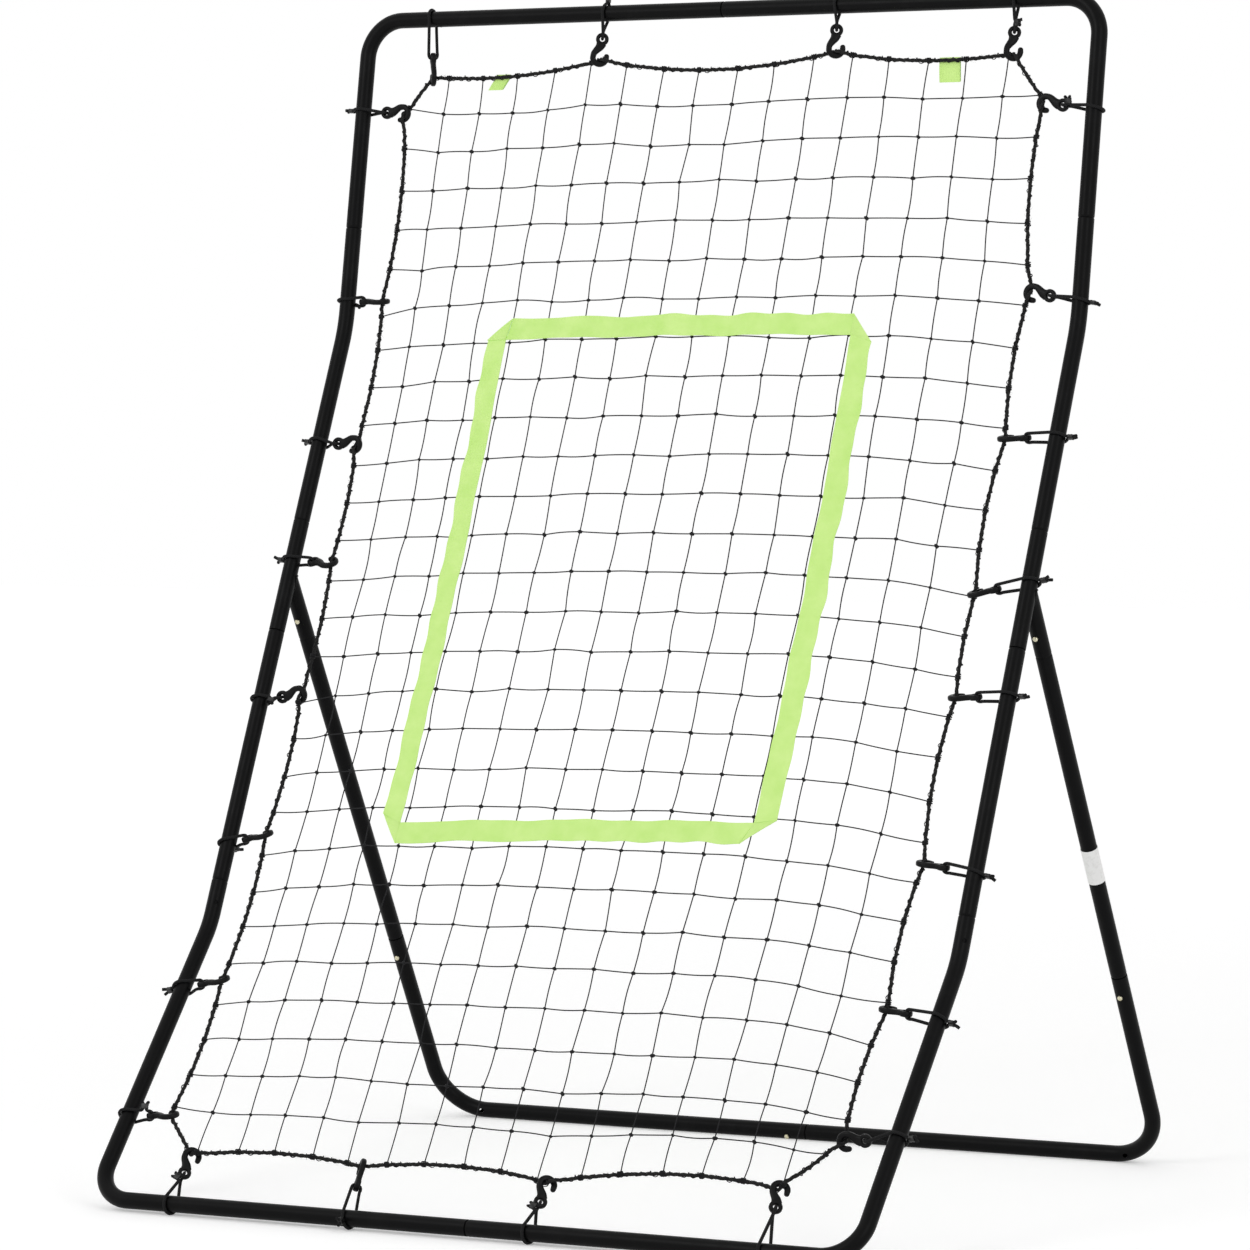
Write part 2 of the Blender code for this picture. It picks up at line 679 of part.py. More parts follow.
def rope_points(route, anchors):
    """Rope route: through the border points, and straight through each hook's jaw."""
    points = []
    in_jaw = []
    count = len(route)
    for index, (kind, value) in enumerate(route):
        if kind == "grid":
            points.append(np.array(value))
            in_jaw.append(False)
            continue
        hold = np.array(anchors[value][1])
        before = route[index - 1][1] if route[index - 1][0] == "grid" else hold
        after = route[(index + 1) % count]
        after = after[1] if after[0] == "grid" else hold
        along = np.array(anchors[value][3])
        if np.dot(along, np.array(after) - np.array(before)) < 0:
            along = -along
        points += [hold - along * HOOK_THICKNESS, hold + along * HOOK_THICKNESS]
        in_jaw += [True, True]
    held = np.array([point for point, jaw in zip(points, in_jaw) if jaw])
    return [point for point, jaw in zip(points, in_jaw)
            if jaw or np.linalg.norm(held - point, axis=1).min() > 2 * ROPE_DIAMETER]


def make_rope(name, route, anchors, material):
    curve = poly_curve(name, rope_points(route, anchors), ROPE_DIAMETER / 2, 1, cyclic=True)
    mesh = welded_curve_mesh(name, curve)
    shade_round(mesh, math.radians(75))
    return add_object(name, mesh, material=material)


def distance_to_segment(point, first, last):
    line = last - first
    share = np.clip(np.dot(point - first, line) / np.dot(line, line), 0.0, 1.0)
    return np.linalg.norm(first + share * line - point)


def border_insets(grid, anchors):
    """How far each border point of the net lies in from the rope, so as to clear rope and hooks."""
    rows, columns = grid.shape[0] - 1, grid.shape[1] - 1
    order = border_order(columns, rows)
    clear = ROPE_DIAMETER / 2 + 0.7 * TWINE_DIAMETER + 2 * SEAM_GAP
    hook_clear = ROPE_DIAMETER / 2 + HOOK_CLEARANCE + HOOK_JAW_WALL + 0.7 * TWINE_DIAMETER + 2 * SEAM_GAP
    insets = {}
    inward = {}
    for row, column in order:
        corner = row in (0, rows) and column in (0, columns)
        insets[row, column] = clear * (1.6 if corner else 1.0)
        inner = grid[min(max(row, 1), rows - 1), min(max(column, 1), columns - 1)]
        pull = inner - grid[row, column]
        inward[row, column] = pull / np.linalg.norm(pull)
    for _ in range(4):
        for index, first in enumerate(order):
            last = order[(index + 1) % len(order)]
            start = grid[first] + inward[first] * insets[first]
            end = grid[last] + inward[last] * insets[last]
            for anchor in anchors:
                short = hook_clear - distance_to_segment(np.array(anchor[1]), start, end)
                if short > 0.0:
                    insets[first] += short
                    insets[last] += short
    return {key: inward[key] * insets[key] for key in order}


def make_net_mesh(name, grid, anchors):
    """Square mesh: a grid of strands, drawn in from the rope it is laced to."""
    rows, columns = grid.shape[0] - 1, grid.shape[1] - 1
    placed = grid.copy()
    for key, shift in border_insets(grid, anchors).items():
        placed[key] += shift
    work = bmesh.new()
    bmesh.ops.create_grid(work, x_segments=columns, y_segments=rows, size=0.5)
    work.verts.ensure_lookup_table()
    order = sorted(work.verts, key=lambda vert: (round(vert.co.y, 4), round(vert.co.x, 4)))
    for vert, place in zip(order, placed.reshape(-1, 3)):
        vert.co = Vector(place)
    mesh = bpy.data.meshes.new(name)
    work.to_mesh(mesh)
    work.free()
    item = add_object(name, mesh)
    strands = item.modifiers.new("strands", "WIREFRAME")
    strands.thickness = TWINE_DIAMETER
    strands.use_even_offset = False
    strands.use_boundary = True
    strands.use_replace = True
    strands.offset = 0.0
    return baked_mesh(item, name)


def net_cuts():
    """Planes across the net at the frame's two bends: a point and the direction up the net."""
    cuts = []
    for row in NET_CUT_ROWS:
        distance = flat_position(row, 0, NET_COLUMNS, NET_ROWS)[1]
        below = rail_direction(distance - LOWER_BEND_RADIUS)
        above = rail_direction(distance + LOWER_BEND_RADIUS)
        cuts.append((rail_point(distance), (below + above).normalized()))
    return cuts


def make_net_panels(grid, anchors, material):
    """The net in three nearly flat panels, parted half way between two rows at each bend."""
    whole = add_object("net", make_net_mesh("net", grid, anchors), material=material)
    for point, up in net_cuts():
        slab = make_box("slab", (FRAME_WIDTH, FRAME_WIDTH / 3, NET_CUT_GAP), CUTTER_COLLECTION_NAME)
        place = Matrix((Vector((1, 0, 0)), Vector((0, up.z, -up.y)), up)).transposed().to_4x4()
        place.translation = point
        slab.data.transform(place)
        whole = apply_boolean(whole, slab, "DIFFERENCE")
    first, last = net_cuts()
    kept = (
        ("net_lower_panel", lambda co: (co - first[0]).dot(first[1]) < 0),
        ("net_middle_panel", lambda co: (co - first[0]).dot(first[1]) > 0 > (co - last[0]).dot(last[1])),
        ("net_upper_panel", lambda co: (co - last[0]).dot(last[1]) > 0),
    )
    for name, inside in kept:
        work = bmesh.new()
        work.from_mesh(whole.data)
        bmesh.ops.delete(work, geom=[vert for vert in work.verts if not inside(vert.co)], context="VERTS")
        mesh = bpy.data.meshes.new(name)
        work.to_mesh(mesh)
        work.free()
        shade_round(mesh)
        add_object(name, mesh, material=material)
    bpy.data.objects.remove(whole, do_unlink=True)


# Target strap and tabs

def net_surface(grid, x, distance):
    """Point of the relaxed net and its forward normal at a place of the flat net."""
    rows, columns = grid.shape[0] - 1, grid.shape[1] - 1
    across = (x + NET_WIDTH / 2) / NET_WIDTH * columns
    along = (distance - NET_BOTTOM) / (NET_TOP - NET_BOTTOM) * rows
    column = int(min(max(math.floor(across), 0), columns - 1))
    row = int(min(max(math.floor(along), 0), rows - 1))
    u, v = across - column, along - row
    corners = [grid[row, column], grid[row, column + 1], grid[row + 1, column], grid[row + 1, column + 1]]
    point = (corners[0] * (1 - u) * (1 - v) + corners[1] * u * (1 - v)
             + corners[2] * (1 - u) * v + corners[3] * u * v)
    right = corners[1] - corners[0]
    up = corners[2] - corners[0]
    normal = np.cross(right, up)
    return point, normal / np.linalg.norm(normal)


def make_target_strap(name, grid, material):
    """Flat ribbon frame on the front of the net, its outer corners cut across where it is folded."""
    stand_off = TWINE_DIAMETER / 2 + STRAP_THICKNESS / 2 + 2 * SEAM_GAP
    half = STRAP_INNER_WIDTH / 2
    bottom_right = STRAP_INNER_BOTTOM + STRAP_BOTTOM_RISE
    corners = ((-half, STRAP_INNER_BOTTOM), (half, bottom_right),
               (half, STRAP_INNER_TOP), (-half, STRAP_INNER_TOP))
    outward = ((0, -1), (1, 0), (0, 1), (-1, 0))
    counts = (6, 8, 6, 8)
    work = bmesh.new()

    def on_net(x, distance):
        point, normal = net_surface(grid, x, distance)
        return work.verts.new(point - stand_off * normal * np.sign(normal[1]))

    inner_corners = [on_net(*corner) for corner in corners]
    pairs = []
    for index in range(4):
        first, last = corners[index], corners[(index + 1) % 4]
        for step in range(counts[index] + 1):
            share = step / counts[index]
            place = [first[axis] + (last[axis] - first[axis]) * share for axis in (0, 1)]
            outer = on_net(*(place[axis] + outward[index][axis] * STRAP_WIDTH for axis in (0, 1)))
            at_corner = step in (0, counts[index])
            inner = inner_corners[(index + (step > 0)) % 4] if at_corner else on_net(*place)
            pairs.append((inner, outer))
    for index, (inner, outer) in enumerate(pairs):
        next_inner, next_outer = pairs[(index + 1) % len(pairs)]
        if inner == next_inner:
            work.faces.new((inner, next_outer, outer))
        else:
            work.faces.new((inner, next_inner, next_outer, outer))
    bmesh.ops.recalc_face_normals(work, faces=work.faces)
    mesh = bpy.data.meshes.new(name)
    work.to_mesh(mesh)
    work.free()
    item = add_object(name, mesh, material=material)
    shell = item.modifiers.new("thickness", "SOLIDIFY")
    shell.thickness = STRAP_THICKNESS
    shell.offset = 0.0
    return item


def rope_level(route_points, x):
    """Place on the top run of the rope at a given x."""
    best = None
    count = len(route_points)
    for index in range(count):
        first, last = route_points[index], route_points[(index + 1) % count]
        low, high = sorted((first[0], last[0]))
        if high - low < 1e-6 or not low <= x <= high:
            continue
        share = (x - first[0]) / (last[0] - first[0])
        point = first + (last - first) * share
        if best is None or point[2] > best[2]:
            best = point
    return Vector(best)


def make_tab(name, x, slant, route_points, material):
    """Short flat tab that hangs in front of the top rope; a slanted one leans over as it drops."""
    up = rail_direction(RAIL_LENGTH)
    forward = Vector((0.0, -up.z, up.y))
    centre = rope_level(route_points, x)
    centre += forward * (ROPE_DIAMETER / 2 + STRAP_THICKNESS / 2 + SEAM_GAP)
    centre -= up * (TAB_LENGTH / 2 - TAB_ABOVE_ROPE)
    place = Matrix((Vector((1, 0, 0)), -forward, up)).transposed().to_4x4()
    place.translation = centre
    item = make_box(name, (TAB_WIDTH, STRAP_THICKNESS, TAB_LENGTH))
    lean = Matrix.Shear("XY", 4, (slant, 0.0))
    item.data.transform(place @ lean)
    item.data.materials.append(material)
    return item


# Hooks and elastic loops

def circle_points(centre, radius, start, end, count):
    """Points on an arc, from one angle in degrees to another."""
    angles = [math.radians(start + (end - start) * index / (count - 1)) for index in range(count)]
    return [(centre[0] + radius * math.cos(a), centre[1] + radius * math.sin(a)) for a in angles]


def hook_mesh(name, reach):
    """Flat moulded hook with its eye at the reach of the cord and its jaw round the rope.

    The shank runs to the front of the rope, and the jaw turns under it and back up behind.
    """
    jaw_inner = ROPE_DIAMETER / 2 + HOOK_CLEARANCE
    jaw_outer = jaw_inner + HOOK_JAW_WALL
    eye_outer = ELASTIC_DIAMETER / 2 + HOOK_EYE_WALL
    neck = -1.5 * jaw_outer
    outline = circle_points((0, 0), jaw_outer, 95, -150, 6)
    outline += [(-0.9 * jaw_outer, -0.28 * jaw_outer)]
    outline += circle_points((0, 0), jaw_inner, -140, 130, 6)
    outline += [(neck, -0.2 * HOOK_JAW_WALL)]
    outline += circle_points((-HOOK_SPAN, 0.0), eye_outer, -75, -285, 4)
    outline += [(neck, 1.1 * HOOK_JAW_WALL)]
    curve = bpy.data.curves.new(name, "CURVE")
    curve.dimensions = "2D"
    curve.fill_mode = "BOTH"
    curve.extrude = HOOK_THICKNESS / 2
    spline = curve.splines.new("POLY")
    spline.points.add(len(outline) - 1)
    for point, (x, y) in zip(spline.points, outline):
        point.co = (x, y, 0.0, 1.0)
    spline.use_cyclic_u = True
    mesh = welded_curve_mesh(name, curve)
    mesh.transform(Matrix.Translation((reach, 0.0, 0.0)) @ Matrix.Rotation(math.pi / 2, 4, "X"))
    return mesh


def loop_turns(crimp_turn):
    """Angles about the tube at which the loop's two strands bend on their way from crimp to eye."""
    before = int((crimp_turn - LOOP_LEAVES) // LOOP_STEP)
    after = int((360 - LOOP_LEAVES - crimp_turn) // LOOP_STEP)
    return ([crimp_turn - LOOP_STEP * step for step in range(1, before + 1)],
            [crimp_turn + LOOP_STEP * step for step in range(1, after + 1)])


def elastic_mesh(name, reach, crimp_turn):
    """Cord from one tail over the tube's front, through the hook's eye and back behind the tube."""
    radius = ELASTIC_DIAMETER / 2
    around = (TUBE_RADIUS + radius + ELASTIC_CLEARANCE) / math.cos(math.radians(LOOP_STEP / 2))
    side = HOOK_THICKNESS / 2 + 0.5 * radius
    beside = radius + ELASTIC_CLEARANCE / 2
    outward = Vector((math.cos(math.radians(crimp_turn)), 0.0, math.sin(math.radians(crimp_turn))))
    turned = Vector((-outward.z, 0.0, outward.x))
    strands = []
    for sign, turns in zip((1.0, -1.0), loop_turns(crimp_turn)):
        lean = turned * (sign * 0.3 * ELASTIC_TAIL)
        strand = [outward * (around + ELASTIC_TAIL) + lean + Vector((0.0, sign * ELASTIC_SPREAD, 0.0)),
                  outward * around + Vector((0.0, sign * beside, 0.0))]
        for index, angle in enumerate(turns):
            turn = math.radians(angle)
            shift = sign * ELASTIC_SPREAD * (0.6 + 0.4 * (index + 1) / len(turns))
            strand.append(Vector((around * math.cos(turn), shift, around * math.sin(turn))))
        strand.append(Vector((reach, sign * side, 0.0)))
        strands.append(strand)
    curve = poly_curve(name, strands[0] + strands[1][::-1], radius, 0)
    curve.twist_mode = "MINIMUM"
    mesh = welded_curve_mesh(name, curve)
    shade_round(mesh, math.radians(95))
    return mesh


def elastic_hook_mesh(name, length, crimp_turn, material):
    """Elastic loop, closed by its crimp, with the hook moulded round it.

    Local axes: X points from the tube to the net, Y along the tube and Z to the front.
    The origin lies on the tube's axis and the rope at the given length from it.
    """
    hook = add_object(name, hook_mesh(name, length), material=material)
    loop_mesh = elastic_mesh(name + "_loop", length - HOOK_SPAN, crimp_turn)
    loop = add_object(name + "_loop", loop_mesh, CUTTER_COLLECTION_NAME)
    united = apply_boolean(hook, loop, "UNION")
    outside = TUBE_RADIUS + CRIMP_DEPTH / 2 + CRIMP_LENGTH / 2
    crimp = make_box(name + "_crimp", (CRIMP_LENGTH, CRIMP_WIDTH, CRIMP_DEPTH), CUTTER_COLLECTION_NAME)
    turn = Matrix.Rotation(math.radians(-crimp_turn), 4, "Y")
    crimp.data.transform(turn @ Matrix.Translation((outside, 0.0, 0.0)))
    united = apply_boolean(united, crimp, "UNION")
    mesh = united.data
    bpy.data.objects.remove(united, do_unlink=True)
    return mesh


def local_frame(hold, tube, along):
    """Rotation with X from the tube to the net, Z to the front."""
    pull = (Vector(hold) - Vector(tube)).normalized()
    along = (Vector(along) - pull * pull.dot(along)).normalized()
    front = pull.cross(along)
    if front.y > 0:
        along = -along
        front = pull.cross(along)
    return pull, along, front


def make_elastic_hooks(anchors, material):
    """One elastic loop with its hook at each anchor; those of equal length share a mesh."""
    meshes = {}
    counts = {}
    for group, hold, tube, along in anchors:
        length = round((Vector(hold) - Vector(tube)).length, 6)
        crimp_turn = BOTTOM_CRIMP_TURN if group == "bottom" else SIDE_CRIMP_TURN
        if length not in meshes:
            meshes[length] = elastic_hook_mesh("elastic_hook_" + group, length, crimp_turn, material)
        counts[group] = counts.get(group, 0) + 1
        pull, along, front = local_frame(hold, tube, along)
        item = bpy.data.objects.new("elastic_hook_%s_%d" % (group, counts[group]), meshes[length])
        bpy.data.collections[COLLECTION_NAME].objects.link(item)
        place = Matrix((pull, along, front)).transposed().to_4x4()
        place.translation = tube
        item.matrix_world = place


# Assembly

def build_frame(tube_paint):
    for side_name, side in SIDES:
        make_top_corner("top_corner_tube_" + side_name, side, tube_paint)
        make_upper_side("upper_side_tube_" + side_name, side, tube_paint)
        make_stand_socket("stand_socket_" + side_name, side, tube_paint)
        make_lower_side("lower_side_tube_" + side_name, side, tube_paint)
        make_bottom_corner("bottom_corner_tube_" + side_name, side, tube_paint)


def build_stand(tube_paint, button_metal, label_paper):
    for side_name, side in SIDES:
        x = side * HALF_WIDTH
        make_upper_leg("upper_leg_tube_" + side_name, side, tube_paint)
        make_lower_leg("lower_leg_tube_" + side_name, side, tube_paint)
        make_snap_clip("snap_clip_leg_top_" + side_name, leg_point(STUB_LENGTH - BUTTON_FROM_SEAM, x),
                       LEG_FRONT, -LEG_DIRECTION, button_metal)
        make_snap_clip("snap_clip_leg_middle_" + side_name, leg_point(LEG_SEAM + BUTTON_FROM_SEAM, x),
                       LEG_FRONT, LEG_DIRECTION, button_metal)
    make_snap_clip("snap_clip_crossbar", leg_point(LEG_LENGTH, CROSSBAR_SEAM_X - BUTTON_FROM_SEAM),
                   CROSSBAR_FRONT, Vector((-1.0, 0.0, 0.0)), button_metal)
    make_label("blank_label", label_paper)


def build_net(net_twine, rope_cord, strap_ribbon, elastic_cord):
    grid, route, anchors = relaxed_net(NET_COLUMNS, NET_ROWS)
    points = rope_points(route, anchors)
    make_net_panels(grid, anchors, net_twine)
    make_rope("border_rope", route, anchors, rope_cord)
    make_target_strap("target_strap", grid, strap_ribbon)
    for side_name, x, slant in zip(("left", "right"), TAB_CENTRES_X, TAB_SLANTS):
        make_tab("top_tab_" + side_name, x, slant, points, strap_ribbon)
    make_elastic_hooks(anchors, elastic_cord)


def main():
    clear_scene()
    make_collection(COLLECTION_NAME)
    make_collection(CUTTER_COLLECTION_NAME)
    tube_paint = make_material("black_tube_paint", (0.012, 0.012, 0.013), 0.42, 0.0)
    button_metal = make_material("zinc_button", (0.78, 0.76, 0.62), 0.3, 1.0)
    label_paper = make_material("white_label", (0.92, 0.92, 0.92), 0.4, 0.0)
    net_twine = make_material("black_net_twine", (0.02, 0.02, 0.02), 0.8, 0.0)
    rope_cord = make_material("black_border_rope", (0.015, 0.015, 0.015), 0.85, 0.0)
    strap_ribbon = make_material("yellow_green_ribbon", (0.56, 0.92, 0.2), 0.6, 0.0)
    elastic_cord = make_material("black_elastic_cord", (0.015, 0.015, 0.015), 0.75, 0.0)
    build_frame(tube_paint)
    build_stand(tube_paint, button_metal, label_paper)
    build_net(net_twine, rope_cord, strap_ribbon, elastic_cord)


main()
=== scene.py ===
"""Dressed scene of a ball rebound net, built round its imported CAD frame.

A knotted net hangs by elastic hooks in a bent tube frame on a plug-in rear stand. Every piece is
computed here from named sizes: tubes, cords and hooks are profiles carried along paths, and the
net is the balance of its own pulls. Units are metres, +Z is up and the front faces -Y.
"""

from __future__ import annotations

import logging
import math
from dataclasses import dataclass, field
from enum import Enum

import bmesh
import bpy
import numpy as np
from mathutils import Matrix, Vector

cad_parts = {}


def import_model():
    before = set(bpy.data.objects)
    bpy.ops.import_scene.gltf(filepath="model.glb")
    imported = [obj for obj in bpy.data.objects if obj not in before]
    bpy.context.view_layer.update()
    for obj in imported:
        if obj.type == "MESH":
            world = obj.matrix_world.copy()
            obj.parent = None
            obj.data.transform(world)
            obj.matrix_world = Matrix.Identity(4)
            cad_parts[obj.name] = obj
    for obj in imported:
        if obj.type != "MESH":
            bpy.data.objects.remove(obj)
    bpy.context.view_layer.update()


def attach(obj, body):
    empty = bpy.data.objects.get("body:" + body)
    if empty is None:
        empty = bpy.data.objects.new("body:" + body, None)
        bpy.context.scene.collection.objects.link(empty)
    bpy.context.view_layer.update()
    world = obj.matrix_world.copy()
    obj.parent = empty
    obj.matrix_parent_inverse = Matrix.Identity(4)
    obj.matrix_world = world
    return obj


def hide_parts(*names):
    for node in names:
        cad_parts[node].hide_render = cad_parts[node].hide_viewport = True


Array = np.ndarray
Pair = tuple[float, float]
Triple = tuple[float, float, float]
Material = bpy.types.Material
Mesh = bpy.types.Mesh
Node = bpy.types.Node
Socket = bpy.types.NodeSocket
LOG = logging.getLogger("rebound_net")
FRAME_BODY = "rebound_frame"
SIDES = (("left", -1.0), ("right", 1.0))
X_AXIS = np.array((1.0, 0.0, 0.0))
Y_AXIS = np.array((0.0, 1.0, 0.0))
Z_AXIS = np.array((0.0, 0.0, 1.0))


# Vector helpers

def unit(vectors: Array) -> Array:
    """Vectors scaled to length one along their last axis."""
    return vectors / np.maximum(np.linalg.norm(vectors, axis=-1, keepdims=True), 1e-12)


def lengths_along(path: Array) -> Array:
    """Distance walked along a polyline at each of its points."""
    return np.concatenate(([0.0], np.cumsum(np.linalg.norm(np.diff(path, axis=0), axis=1))))


def at_lengths(path: Array, wanted: Array) -> Array:
    """Points of a polyline at given distances; beyond its ends it runs on straight.

    Args:
        path: Points of the polyline, one per row.
        wanted: Distances along it.

    Returns:
        One point per distance.
    """
    walked = lengths_along(path)
    inside = np.stack([np.interp(wanted, walked, path[:, axis]) for axis in range(path.shape[1])],
                      axis=1)
    first, last = unit(path[1] - path[0]), unit(path[-1] - path[-2])
    before = np.minimum(wanted, 0.0)[:, None] * first
    after = np.maximum(wanted - walked[-1], 0.0)[:, None] * last
    return inside + before + after


def even_ring(path: Array, spacing: float) -> tuple[Array, float]:
    """Closed path resampled at even steps.

    Args:
        path: Points of the closed path.
        spacing: Rough distance between samples.

    Returns:
        Points, and the length of the whole path.
    """
    ring = np.concatenate((path, path[:1]))
    total = lengths_along(ring)[-1]
    count = int(total / spacing)
    return at_lengths(ring, np.arange(count) * total / count), total


def nearest(path: Array, places: Array) -> Array:
    """Index of the path point nearest to each place."""
    return np.linalg.norm(path - places[..., None, :], axis=-1).argmin(axis=-1)


def smooth_curve(points: Array, steps: int) -> Array:
    """Smooth curve through points, by the Catmull-Rom formula.

    Each span is the cubic through its two ends whose slopes there are half the chord
    between the neighbours on either side.

    Args:
        points: Points to pass through, one per row.
        steps: Samples per span.

    Returns:
        Points of the curve, ends included.
    """
    padded = np.concatenate((2 * points[:1] - points[1:2], points, 2 * points[-1:] - points[-2:-1]))
    before, start, end, after = padded[:-3], padded[1:-2], padded[2:-1], padded[3:]
    t = (np.arange(steps) / steps)[None, :, None]
    before, start, end, after = (part[:, None, :] for part in (before, start, end, after))
    curve = 0.5 * (2 * start + (end - before) * t
                   + (2 * before - 5 * start + 4 * end - after) * t ** 2
                   + (3 * start - before - 3 * end + after) * t ** 3)
    return np.concatenate((curve.reshape(-1, 3), points[-1:]))


def rounded_path(corners: Array, radii: tuple[float, ...], steps: tuple[int, ...]) -> Array:
    """Polyline through corners, each inner one replaced by a circular arc.

    The arc's centre lies on the corner's bisector at radius / sin(half angle), and its points
    turn about that centre from one tangent point to the other.

    Args:
        corners: Corner points, one per row.
        radii: Arc radius at each inner corner.
        steps: Pieces of each arc.

    Returns:
        Points of the rounded path.
    """
    parts = [corners[:1]]
    for index, (radius, count) in enumerate(zip(radii, steps), start=1):
        corner = corners[index]
        to_before, to_after = unit(corners[index - 1] - corner), unit(corners[index + 1] - corner)
        half = 0.5 * math.acos(float(np.clip(to_before @ to_after, -1.0, 1.0)))
        centre = corner + unit(to_before + to_after) * radius / math.sin(half)
        outward = unit(corner + to_before * radius / math.tan(half) - centre)
        turns = np.linspace(0.0, math.pi - 2 * half, count + 1)[:, None]
        parts.append(centre + radius * (outward * np.cos(turns) - to_before * np.sin(turns)))
    parts.append(corners[-1:])
    return np.concatenate(parts)


def carried_frames(path: Array, closed: bool = False,
                   hint: Array | None = None) -> tuple[Array, Array]:
    """Two cross directions at each point of a path, carried along it without twist.

    Each point's normal is the one before it less its part along the new tangent. On a closed
    path the turn left over at the seam is spread evenly.

    Args:
        path: Points of the path.
        closed: Whether the last point joins the first.
        hint: Rough direction of the first normal.

    Returns:
        Normals and binormals.
    """
    if closed:
        tangents = unit(np.roll(path, -1, axis=0) - np.roll(path, 1, axis=0))
    else:
        tangents = unit(np.gradient(path, axis=0))
    start = X_AXIS if hint is None else hint
    if abs(float(unit(start) @ tangents[0])) > 0.95:
        start = np.array((0.0, 0.6, 0.8))
    normals = np.empty_like(path)
    carried = start
    for index, tangent in enumerate(tangents):
        carried = unit(carried - tangent * (carried @ tangent))
        normals[index] = carried
    binormals = np.cross(tangents, normals)
    if closed:
        final = unit(normals[-1] - tangents[0] * (normals[-1] @ tangents[0]))
        left_over = math.atan2(final @ binormals[0], final @ normals[0])
        turn = (-left_over * np.arange(len(path)) / len(path))[:, None]
        normals, binormals = (normals * np.cos(turn) + binormals * np.sin(turn),
                              binormals * np.cos(turn) - normals * np.sin(turn))
    return normals, binormals


def shares(pieces: int) -> Array:
    """Even shares from 0 to 1, one more than the pieces between them."""
    return np.linspace(0.0, 1.0, pieces + 1)


def spoke(angle: Array, first: Array, second: Array) -> Array:
    """Directions at angles that turn from one unit vector to another."""
    return np.cos(angle)[..., None] * first + np.sin(angle)[..., None] * second


def laid(places: Array, across: Array, other: Array, section: Array) -> Array:
    """Sections laid at places: each place plus the offsets along two cross directions.

    Args:
        places: Centres, one per row.
        across: First cross direction, one for all or one per place.
        other: Second cross direction.
        section: Pairs of offsets, places by points.

    Returns:
        Points, places by points by 3.
    """
    return (places[:, None, :] + across[..., None, :] * section[..., :1]
            + other[..., None, :] * section[..., 1:])


# Surfaces

